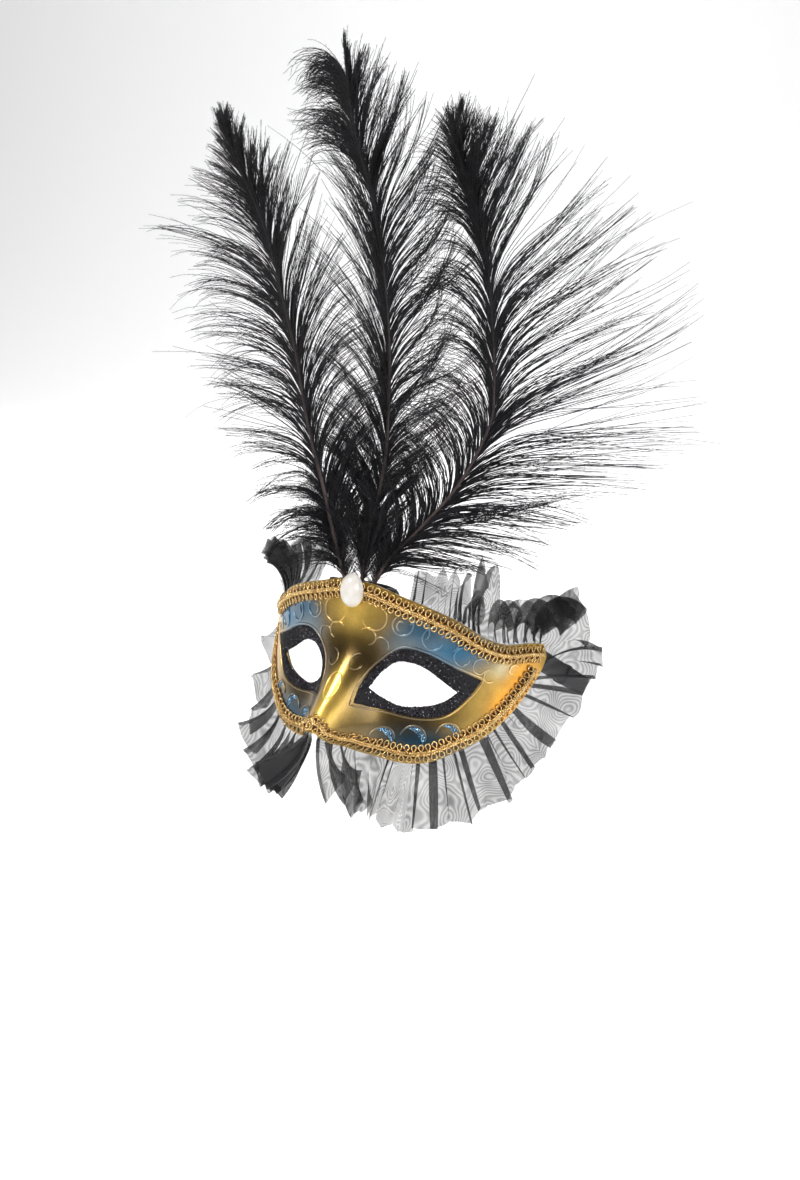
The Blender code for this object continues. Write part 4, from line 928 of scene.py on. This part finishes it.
# Barbs at evenly spaced places from foot to tip: length in shares of the plume's height,
# angle in degrees, and the turn that weight and curl give a barb by its end.
VANES = {
    ("left", "outer"): ([0.12, 0.22, 0.31, 0.34, 0.31, 0.15, 0.05], [186, 180, 168, 158, 150, 140, 122],
                        [24, 26, 30, 38, 36, 22, 0]),
    ("left", "inner"): ([0.24, 0.27, 0.27, 0.26, 0.22, 0.13, 0.06], [70, 68, 70, 74, 82, 94, 104],
                        [10, -40, -50, -16, 4, 0, 0]),
    ("middle", "outer"): ([0.22, 0.27, 0.30, 0.31, 0.27, 0.20, 0.14], [120, 122, 122, 118, 116, 130, 132],
                          [20, 50, 36, 8, 14, 80, 110]),
    ("middle", "inner"): ([0.16, 0.22, 0.23, 0.25, 0.26, 0.19, 0.08], [50, 30, 26, 32, 50, 72, 92],
                          [8, 38, 50, 42, 22, 8, 0]),
    ("right", "outer"): ([0.20, 0.38, 0.43, 0.39, 0.30, 0.19, 0.08], [2, 6, 17, 34, 52, 70, 84],
                         [-10, -6, 2, 6, 8, 6, 0]),
    ("right", "inner"): ([0.18, 0.24, 0.27, 0.27, 0.24, 0.18, 0.08], [104, 112, 120, 124, 122, 112, 102],
                         [10, 60, 105, 115, 95, 60, 10])}
VANE_FOOT, VANE_TIP = 0.035, {"left": 0.955, "middle": 0.97, "right": 0.95}


def plume_depth(which, z):
    """Depth of a plume at a height above the pearl: back off the mask, a lean, a bend."""
    near, lean, bend = SETBACK[which]
    return (POCKET_MIDDLE + near / 1000 * ease((z - 0.005) / 0.055) + lean * np.maximum(z - 0.060, 0)
            + bend / 1000 * ease((z - 0.170) / 0.090))


def quill_line(which, count):
    """Quill from its root in the pocket, straight through the binding, to its tip."""
    order = {"left": -1, "middle": 0, "right": 1}[which]
    root = np.array([order * ROOT_PITCH, SHELL_TOP - ROOT_DEPTH - PEARL_LEVEL])
    bound = root + [0, BOUND_HEIGHT]
    free = smooth_line(np.vstack([bound, np.array(QUILLS[which]) * PLUME_HEIGHT]), count - 1)
    flat = np.vstack([root, free])
    return np.column_stack([flat[:, 0], plume_depth(which, flat[:, 1]), flat[:, 1] + PEARL_LEVEL])


def along_line(line, share):
    """Points of a line at shares of its length."""
    at = share * (len(line) - 1)
    return np.column_stack([np.interp(at, np.arange(len(line)), line[:, i]) for i in range(3)])


def run_out(start, flow, length):
    """Lines that grow from their starts along the given unit steps, to their full lengths."""
    count, steps = flow.shape[:2]
    grown = np.cumsum(flow * (length / steps)[:, None, None], axis=1)
    return start[:, None] + np.concatenate([np.zeros((count, 1, 3)), grown], axis=1)


def barb_paths(which, place, count, steps, rng):
    """Middle lines of one vane's barbs. A barb leaves near the quill's own direction, swings
    out to its angle, then turns further with its weight. Locks of neighbours close up
    towards their ends, and single barbs stray."""
    lengths, angles, turns = VANES[(which, place)]
    line = quill_line(which, 240)
    spots = rng.uniform(0, 1, count)
    crowd = rng.uniform(0, 1, count)
    spots = np.where(crowd < 0.22, 1 - 0.24 * spots ** 1.3, spots)
    spots = np.sort(np.where(crowd > 0.90, 0.16 * spots, spots))
    knots = np.linspace(0, 1, len(lengths))
    length = np.interp(spots, knots, lengths) * PLUME_HEIGHT * np.clip(rng.normal(1, 0.10, count), 0.55, 1.25)
    length *= np.where(rng.uniform(0, 1, count) < 0.10, rng.uniform(0.45, 0.8, count), 1)
    share = VANE_FOOT + (VANE_TIP[which] - VANE_FOOT) * spots
    start = along_line(line, share)
    step = along_line(line, np.minimum(share + 0.01, 1)) - along_line(line, share - 0.01)
    quill_angle = np.degrees(np.arctan2(step[:, 2], step[:, 0]))
    lock = np.cumsum(rng.uniform(0, 1, count) < 0.24)
    lock_count = lock[-1] + 1
    lock_turn = rng.normal(0, 8.0, lock_count)[lock]
    length *= np.clip(rng.normal(1, 0.10, lock_count), 0.7, 1.2)[lock]
    final = np.interp(spots, knots, angles) + lock_turn + rng.normal(0, 2.5, count)
    first = quill_angle + (final - quill_angle) * 0.35
    weight = np.interp(spots, knots, turns) * rng.normal(1, 0.3, count) + rng.normal(0, 9, lock_count)[lock]
    t = np.linspace(0, 1, steps)
    swing = ease(t * 2.2)
    angle = np.radians(first[:, None] + (final - first)[:, None] * swing + weight[:, None] * t ** 2.2)
    flow = np.stack([np.cos(angle), np.zeros_like(angle), np.sin(angle)], axis=-1)
    cup = rng.normal(0, 0.16, lock_count)[lock] + rng.normal(0, 0.06, count) + 0.10
    flow[..., 1] = cup[:, None] * (0.4 + t) + rng.normal(0, 0.10, count)[:, None] * t ** 2
    flow[..., 1] -= (0.10 * np.clip(1 - spots / 0.3, 0, 1))[:, None]
    flow /= np.linalg.norm(flow, axis=-1, keepdims=True)
    path = run_out(start, (flow[:, 1:] + flow[:, :-1]) / 2, length)
    members = np.maximum(np.bincount(lock, minlength=lock_count), 1)[:, None, None]
    mean = np.zeros((lock_count, steps, 3))
    np.add.at(mean, lock, path)
    mean = (mean / members)[lock]
    pull = 0.72 * ease((t - 0.15) / 0.8)[None, :, None] * rng.uniform(0.4, 1.0, count)[:, None, None]
    path = path + (mean - path) * pull
    wave = rng.uniform(0, 2 * math.pi, (count, 1)) + t * rng.uniform(4, 9, (count, 1))
    path[..., 2] += np.sin(wave) * 0.0006 * t
    path[..., 0] += np.cos(wave * 1.3) * 0.0005 * t
    return path, share


def barbules(paths, per_barb, length, width, rng, spread=0.75):
    """Barbules: slim three-sided spikes that leave a barb on both sides and point forward."""
    count, steps = paths.shape[:2]
    total = count * per_barb
    which = np.repeat(np.arange(count), per_barb)
    at = rng.uniform(0.02, 0.985, total) * (steps - 1)
    low = np.minimum(at.astype(int), steps - 2)
    share = (at - low)[:, None]
    root = paths[which, low] * (1 - share) + paths[which, low + 1] * share
    ahead = paths[which, low + 1] - paths[which, low]
    ahead /= np.maximum(np.linalg.norm(ahead, axis=1)[:, None], 1e-9)
    aside = np.cross(ahead, rng.normal(0, 1, (total, 3)) * [0.55, 1.0, 0.55])
    aside /= np.linalg.norm(aside, axis=1)[:, None]
    way = ahead * rng.uniform(0.35, 1.0, (total, 1)) + aside * spread
    way /= np.linalg.norm(way, axis=1)[:, None]
    reach = length * rng.uniform(0.45, 1.3, total) * (1 - 0.55 * (at / (steps - 1)) ** 2)
    a = np.cross(way, ahead + 0.3)
    a /= np.linalg.norm(a, axis=1)[:, None]
    b = np.cross(way, a)
    points = np.stack([root + a * width, root - a * width * 0.5 + b * width * 0.87,
                       root - a * width * 0.5 - b * width * 0.87, root + way * reach[:, None]], axis=1)
    tri = np.array([(0, 1, 3), (1, 2, 3), (2, 0, 3), (0, 2, 1)])
    return points.reshape(-1, 3), (np.arange(total)[:, None, None] * 4 + tri).reshape(-1, 3)


def big_piece(name, parts, mat, **rest):
    """Piece from arrays of quads and triangles, filled in one go for speed."""
    points = np.vstack([p for p, _ in parts])
    start, corners, sizes = 0, [], []
    for p, faces in parts:
        for width in (3, 4):
            some = np.array([f for f in faces if len(f) == width]) if isinstance(faces, list) \
                else (faces if faces.shape[1] == width else faces[:0])
            if len(some):
                corners.append(some.reshape(-1) + start)
                sizes.append(np.full(len(some), width))
        start += len(p)
    corners, sizes = np.concatenate(corners), np.concatenate(sizes)
    mesh = bpy.data.meshes.new(name)
    mesh.vertices.add(len(points))
    mesh.vertices.foreach_set("co", points.ravel())
    mesh.loops.add(len(corners))
    mesh.loops.foreach_set("vertex_index", corners.astype(np.int32))
    mesh.polygons.add(len(sizes))
    mesh.polygons.foreach_set("loop_start", (np.cumsum(sizes) - sizes).astype(np.int32))
    mesh.update(calc_edges=True)
    mesh.validate()
    mesh.shade_smooth()
    obj = bpy.data.objects.new(name, mesh)
    bpy.context.scene.collection.objects.link(obj)
    mesh.materials.append(mat)
    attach(obj, rest["body"])
    if rest.get("stands_for"):
        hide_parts(*rest["stands_for"])
    return obj


def barb_material():
    """Black-dyed barb: near black with a blue cast, a soft sheen and slight tone changes."""
    mat, shader = shader_of("dyed_ostrich_barb", 0.6, 0.0)
    cloud = object_noise(mat, 55, 3)
    toned(mat, shader, cloud.outputs["Fac"], (0.35, (0.0015, 0.0015, 0.0025)), (0.7, (0.007, 0.007, 0.012)))
    set_inputs(shader, Sheen_Weight=0.04, Sheen_Roughness=0.5, Specular_IOR_Level=0.25)
    return mat


def keratin_material():
    """Quill: taupe below, the lighter foot partly its own colour and partly a painted highlight, dyed darker
    up its length, with fine lengthwise streaks.
    """
    mat, shader = shader_of("dyed_quill", 0.38, 0.0)
    where = node(mat, "ShaderNodeTexCoord").outputs["Object"]
    parts = node(mat, "ShaderNodeSeparateXYZ", {"Vector": where})
    high = node(mat, "ShaderNodeMapRange", {"Value": parts.outputs["Z"], "From Min": 0.01, "From Max": 0.17})
    # Lighter taupe at the foot: partly the quill's own colour, partly a painted highlight.
    tone = ramp(mat, high.outputs[0], [(0.0, (0.11, 0.075, 0.065)), (0.45, (0.05, 0.036, 0.035)),
                                       (1.0, (0.008, 0.007, 0.008))])
    stretched = node(mat, "ShaderNodeMapping", {"Vector": where, "Scale": (900, 900, 60)})
    streak = node(mat, "ShaderNodeTexNoise", {"Vector": stretched.outputs[0], "Scale": 1.0})
    shade = ramp(mat, streak.outputs["Fac"], [(0.3, (0.7, 0.7, 0.7)), (0.7, (1.2, 1.2, 1.2))])
    link(mat, multiplied(mat, tone.outputs[0], shade.outputs[0]), shader.inputs["Base Color"])
    bump(mat, shader, streak.outputs["Fac"], 0.3, 0.0002)
    return mat


barb_mat, keratin = barb_material(), keratin_material()
BARB_STEPS = 11
for number, which in enumerate(QUILLS):
    line = quill_line(which, 160)
    radius = np.linspace(QUILL_RADIUS * 0.8, QUILL_TIP_RADIUS * 0.6, 160)
    points, faces = tubes(line, radius[None], 10)
    outward(piece("ostrich_quill_" + which, points, faces, keratin, "plume_spray", "quill_keratin",
                  ["quill_" + which]))
    for place in ("outer", "inner"):
        rng = np.random.default_rng(100 + 10 * number + (place == "inner"))
        count = {"outer": 1000, "inner": 920}[place]
        paths, share = barb_paths(which, place, count, BARB_STEPS, rng)
        thin = np.linspace(1, 0.35, BARB_STEPS)[None] * rng.uniform(0.8, 1.15, count)[:, None]
        cores = tubes(paths, 0.00027 * thin, 3)
        fringe = barbules(paths, 22, 0.0021, 0.00009, rng)
        big_piece("ostrich_vane_%s_%s" % (which, place), [cores, fringe], barb_mat, body="plume_spray",
                  slot="ostrich_barbs", stands_for=["vane_%s_%s" % (which, place)])

# ---- basal down ----------------------------------------------------------------------------
# Curly down at the foot of the left plume: soft strands with long fine barbules.
rng = np.random.default_rng(77)
count, steps = 210, 12
root = along_line(quill_line("left", 240), rng.uniform(0.09, 0.24, count))
heading = rng.uniform(120, 262, count)
curl_rate = rng.normal(0, 75, count)
t = np.linspace(0, 1, steps)
angle = np.radians(heading[:, None] + curl_rate[:, None] * t)
forward = -rng.uniform(0.0, 0.35, count)[:, None] * (1 - t) - 0.08
flow = np.stack([np.cos(angle), forward, np.sin(angle)], axis=-1)
paths = run_out(root, flow[:, 1:], rng.uniform(0.010, 0.027, count))
cores = tubes(paths, 0.00010 * np.linspace(1, 0.4, steps)[None], 3)
fringe = barbules(paths, 60, 0.0030, 0.00004, rng, 1.1)
big_piece("basal_down_strands", [cores, fringe], barb_mat, body="plume_spray", slot="basal_down",
          stands_for=["basal_down_left"])

# The feet of all three quills are fluffy too: shorter strands that stand up between them.
rng = np.random.default_rng(78)
count = 510
feet = np.concatenate([along_line(quill_line(which, 240), rng.uniform(0.020, 0.11, count // 3))
                       for which in QUILLS])
heading = rng.uniform(42, 138, count)
angle = np.radians(heading[:, None] + rng.normal(0, 30, count)[:, None] * t)
flow = np.stack([np.cos(angle), rng.normal(0, 0.25, count)[:, None] + 0 * angle, np.sin(angle)], axis=-1)
paths = run_out(feet, flow[:, 1:], rng.uniform(0.007, 0.038, count))
cores = tubes(paths, 0.00018 * np.linspace(1, 0.4, steps)[None], 3)
fringe = barbules(paths, 40, 0.0028, 0.00006, rng, 1.0)
big_piece("quill_foot_down", [cores, fringe], barb_mat, body="plume_spray", slot="basal_down")

# ---- binding wire -----------------------------------------------------------------------------
# Dark florist's wire wound five times round the three quill roots, inside the brow pocket.
WIRE_RADIUS, WIRE_TURNS = 0.00036, 5
wire_mat, wire_shader = shader_of("florists_wire", 0.42, 0.85)
toned(wire_mat, wire_shader, object_noise(wire_mat, 420, 3).outputs["Fac"],
      (0.3, (0.03, 0.03, 0.032)), (0.7, (0.11, 0.11, 0.115)))
turn = np.linspace(0, WIRE_TURNS * 2 * math.pi, WIRE_TURNS * 48)
wrap_radius = QUILL_RADIUS + GAP + WIRE_RADIUS
coil = np.column_stack([ROOT_PITCH * np.clip(np.cos(turn) * 1.6, -1, 1) + wrap_radius * np.cos(turn),
                        POCKET_MIDDLE + wrap_radius * np.sign(np.sin(turn)) * np.abs(np.sin(turn)) ** 0.5,
                        SHELL_TOP - ROOT_DEPTH + GAP + WIRE_RADIUS
                        + (turn / turn[-1]) * (0.004 - 2 * WIRE_RADIUS)])
points, faces = tubes(coil, WIRE_RADIUS, 8, [0, 0, 1.0])
outward(piece("binding_wire_coil", points, faces, wire_mat, "mask", "binding_wire", ["quill_binding"]))

# ---- ribbon anchors, ties and keepers --------------------------------------------------------
# Each tie is a satin ribbon 10 mm wide and 0.45 m long. Its end is stuck under a felt square
# inside the corner of the mask; the rest is folded to and fro and held by an elastic ring.
RIBBON_WIDTH, RIBBON_LENGTH, RIBBON_RUN, RIBBON_LEAD, RIBBON_STACK = 0.010, 0.45, 0.052, 0.007, 0.007
RIBBON_THICK, RIBBON_FALL, KEEPER_WIDTH, KEEPER_WALL = 0.00025, math.radians(30), 0.003, 0.0005
PATCH_SIZE, PATCH_WALL = np.array([0.015, 0.012]), 0.001
patch_outer = -SHELL_WALL - 3 * CURVED_GAP - RUFFLE_THIN - TAPE_WALL
patch_middle = np.array([HALF_GIRTH - 0.009, (LOW_BRAID[-3, 1] + TOP_BRAID[-2, 1]) / 2])
anchor_felt = pile_material("anchor_felt", (0.008, 0.008, 0.009), 800)


def satin_material():
    """Black satin: smooth warp floats with fine lengthwise threads and a tight highlight."""
    mat, shader = shader_of("black_satin", 0.42, 0.0)
    threads = node(mat, "ShaderNodeTexWave", {"Vector": node(mat, "ShaderNodeTexCoord").outputs["UV"],
                                              "Scale": 24.0, "Distortion": 1.0, "Detail": 2.0},
                   bands_direction="Y")
    toned(mat, shader, threads.outputs["Fac"], (0.2, (0.002, 0.002, 0.003)), (0.8, (0.008, 0.008, 0.011)))
    set_inputs(shader, Sheen_Weight=0.08)
    bump(mat, shader, threads.outputs["Fac"], 0.15, 0.0001)
    return mat


def grid_uv(obj, rows, cols):
    """UV map of a grid: U along its rows, V across."""
    uv = obj.data.uv_layers.new(name="cloth")
    corners = np.zeros(len(obj.data.loops), int)
    obj.data.loops.foreach_get("vertex_index", corners)
    flat = np.column_stack([corners // cols / (rows - 1), corners % cols / (cols - 1)])
    uv.data.foreach_set("uv", flat.ravel())


def ribbon_frame(side):
    """Start of a tie, its way along, its width way and its flat side towards the head."""
    s, z = patch_middle + [PATCH_SIZE[0] / 2 + GAP, 0]
    start = on_wall(np.array([s, z]), patch_outer - PATCH_WALL / 2)
    level = wall_middle(s + 0.001, z) - wall_middle(s, z)
    level[2] = 0
    level /= np.linalg.norm(level)
    up = np.array([0, 0, 1.0])
    along = level * math.cos(RIBBON_FALL) - up * math.sin(RIBBON_FALL)
    wide = level * math.sin(RIBBON_FALL) + up * math.cos(RIBBON_FALL)
    head = np.cross(along, wide)
    head *= -np.sign(head[0])
    start = start + level * (RIBBON_WIDTH / 2 * math.sin(RIBBON_FALL) + GAP)
    mirror = np.array([side, 1, 1])
    return start * mirror, along * mirror, wide * mirror, head * mirror


def fold_profile():
    """Side view of the folded tie: a first run, then layers to and fro with round bends."""
    layers = 10
    pitch = (RIBBON_STACK - RIBBON_THICK) / (layers - 1)
    long_run = RIBBON_RUN - 0.0006
    points = []
    for k in range(layers):
        a = 0.0 if k == 0 else RIBBON_LEAD + 0.0006 + 0.0006 * math.sin(5 * k)
        b = long_run - 0.0005 * (1 + math.sin(3 * k))
        run = np.linspace(a, b, 24) if k % 2 == 0 else np.linspace(b, a, 24)
        wave = 0.00007 * np.sin(run * 420 + k)
        level = RIBBON_THICK / 2 + k * pitch
        points.append(np.column_stack([run, level + wave * (k > 0)]))
        if k < layers - 1:
            turn = np.radians(np.linspace(-72, 72, 7))
            way = 1 if k % 2 == 0 else -1
            points.append(np.column_stack([run[-1] + way * pitch * 0.5 * np.cos(turn),
                                           level + pitch * 0.5 + pitch * 0.5 * np.sin(turn)]))
    return np.vstack(points)


satin = satin_material()
elastic_mat, elastic_shader = shader_of("braided_elastic", 0.7, 0.0, (0.02, 0.02, 0.02))
strands = node(elastic_mat, "ShaderNodeTexWave",
               {"Vector": node(elastic_mat, "ShaderNodeTexCoord").outputs["Object"], "Scale": 500.0,
                "Distortion": 2.0})
toned(elastic_mat, elastic_shader, strands.outputs["Fac"], (0.2, (0.008, 0.008, 0.008)),
      (0.8, (0.06, 0.06, 0.06)))
bump(elastic_mat, elastic_shader, strands.outputs["Fac"], 0.6, 0.0002)
for word, side in (("right", 1), ("left", -1)):
    u, v = np.meshgrid(np.linspace(-0.5, 0.5, 26), np.linspace(-0.5, 0.5, 22), indexing="ij")
    edge = np.maximum(np.abs(u), np.abs(v)) * 2
    flat = (patch_middle + np.stack([u, v], axis=-1) * PATCH_SIZE) * [side, 1]
    soft = PATCH_WALL * 0.30 * np.clip((edge - 0.8) / 0.2, 0, 1) ** 2
    front, back = on_wall(flat, patch_outer - soft), on_wall(flat, patch_outer - PATCH_WALL + soft)
    rows, cols = u.shape
    index = np.arange(rows * cols).reshape(rows, cols)
    rim = np.concatenate([index[0, :-1], index[:-1, -1], index[-1, :0:-1], index[:0:-1, 0]])
    other = rim + rows * cols
    walls = np.column_stack([rim, np.roll(rim, -1), np.roll(other, -1), other])
    faces = np.vstack([grid_faces(rows, cols), grid_faces(rows, cols)[:, ::-1] + rows * cols, walls])
    patch = outward(piece("felt_anchor_" + word, np.stack([front, back]), faces, anchor_felt,
                          slot="anchor_felt", stands_for=["ribbon_anchor_patch_" + word]))

    start, along, wide, head = ribbon_frame(side)
    body = word + "_tie"
    profile = fold_profile()
    across = np.linspace(-0.5, 0.5, 9) * RIBBON_WIDTH
    cloth = (start + profile[:, None, :1] * along + profile[:, None, 1:] * head
             + across[:, None] * wide)
    tie = piece("satin_tie_" + word, cloth, grid_faces(len(profile), 9), satin, body, "black_satin",
                ["ribbon_tie_" + word])
    grid_uv(tie, len(profile), 9)
    thick = tie.modifiers.new("thickness", "SOLIDIFY")
    thick.thickness, thick.offset = RIBBON_THICK, 0.0

    low = (RIBBON_LEAD + RIBBON_RUN) / 2
    box = squared_loop(np.linspace(0, 2 * math.pi, 72, endpoint=False), 0.35)
    rings = []
    for clear, at in ((GAP + KEEPER_WALL * 0.1, 0), (GAP + KEEPER_WALL * 0.9, 0.12), (GAP + KEEPER_WALL, 0.5),
                      (GAP + KEEPER_WALL * 0.9, 0.88), (GAP + KEEPER_WALL * 0.1, 1), (GAP * 0.6, 0.98),
                      (GAP * 0.6, 0.02)):
        loop = box * [RIBBON_WIDTH / 2 + clear, RIBBON_STACK / 2 + clear]
        rings.append(start + along * (low + KEEPER_WIDTH * at) + loop[:, :1] * wide
                     + (loop[:, 1:] + RIBBON_STACK / 2) * head)
    outward(piece("elastic_keeper_" + word, np.stack(rings), grid_faces(7, 72, True, True), elastic_mat,
                  body, "keeper_elastic", ["ribbon_keeper_" + word]))

# ---- floor and light ---------------------------------------------------------------------------
# Plain white floor well below the mask, which a head holds up in use. It sweeps up far behind
# it as one sheet of paper. The studio is bright behind the mask and dimmer in front of it.
FLOOR_LEVEL, SWEEP_START, SWEEP_RADIUS = -0.262, 3.2, 2.5
floor_mat, floor_shader = shader_of("pale_floor", 0.9, 0.0, (0.93, 0.93, 0.93))
turn = np.linspace(0, math.pi / 2, 24)
profile = np.vstack([[(-4.0, 0), (-2.0, 0)],
                     np.column_stack([np.linspace(0, SWEEP_START, 12)[:-1], np.zeros(11)]),
                     np.column_stack([SWEEP_START + SWEEP_RADIUS * np.sin(turn),
                                      SWEEP_RADIUS * (1 - np.cos(turn))]),
                     [(SWEEP_START + SWEEP_RADIUS, 9.0)]])
across = np.linspace(-9, 9, 10)
floor_points = (profile[:, None, :1] * level_ahead + across[:, None] * level_right
                + (profile[:, None, 1:] + FLOOR_LEVEL) * [0, 0, 1.0])
mesh = bpy.data.meshes.new("floor")
mesh.from_pydata(floor_points.reshape(-1, 3).tolist(), [],
                 grid_faces(*floor_points.shape[:2])[:, ::-1].tolist())
mesh.shade_smooth()
floor = bpy.data.objects.new("floor", mesh)
bpy.context.scene.collection.objects.link(floor)
mesh.materials.append(floor_mat)


def soft_light(name, place, target, size, power, colour=(1, 1, 1)):
    """Large square lamp at a place, turned towards a target."""
    lamp = bpy.data.lights.new(name, "AREA")
    lamp.size, lamp.energy, lamp.color = size, power, colour
    obj = bpy.data.objects.new(name, lamp)
    obj.location = place
    obj.rotation_euler = (Vector(target) - Vector(place)).to_track_quat("-Z", "Y").to_euler()
    bpy.context.scene.collection.objects.link(obj)


soft_light("key", (-0.30, -0.80, 1.15), (0, 0, 0), 0.40, 16, (1, 0.97, 0.92))
soft_light("side", (1.2, -0.35, 0.35), (0, 0, 0.0), 0.5, 7)
soft_light("backdrop", (0.0, 1.3, 2.6), (-1.2, 3.8, 0.2), 2.5, 150)
soft_light("floor", (0.4, 0.4, 2.2), (-0.1, 0.3, -0.26), 1.6, 9)
world = bpy.data.worlds.new("studio")
bpy.context.scene.world = world
world.use_nodes = True
sky = world.node_tree
ways = sky.nodes.new("ShaderNodeTexCoord")
parts = sky.nodes.new("ShaderNodeSeparateXYZ")
tones = sky.nodes.new("ShaderNodeValToRGB")
depth = sky.nodes.new("ShaderNodeMapRange")
sky.links.new(ways.outputs["Generated"], parts.inputs[0])
sky.links.new(parts.outputs["Y"], depth.inputs["Value"])
depth.inputs["From Min"].default_value = -1.0
sky.links.new(depth.outputs[0], tones.inputs["Fac"])
tones.color_ramp.elements[0].position = 0.30
tones.color_ramp.elements[0].color = (0.22, 0.22, 0.23, 1)
tones.color_ramp.elements[1].position = 0.75
tones.color_ramp.elements[1].color = (1, 1, 1, 1)
sky.links.new(tones.outputs[0], sky.nodes["Background"].inputs["Color"])
sky.nodes["Background"].inputs["Strength"].default_value = 1.0
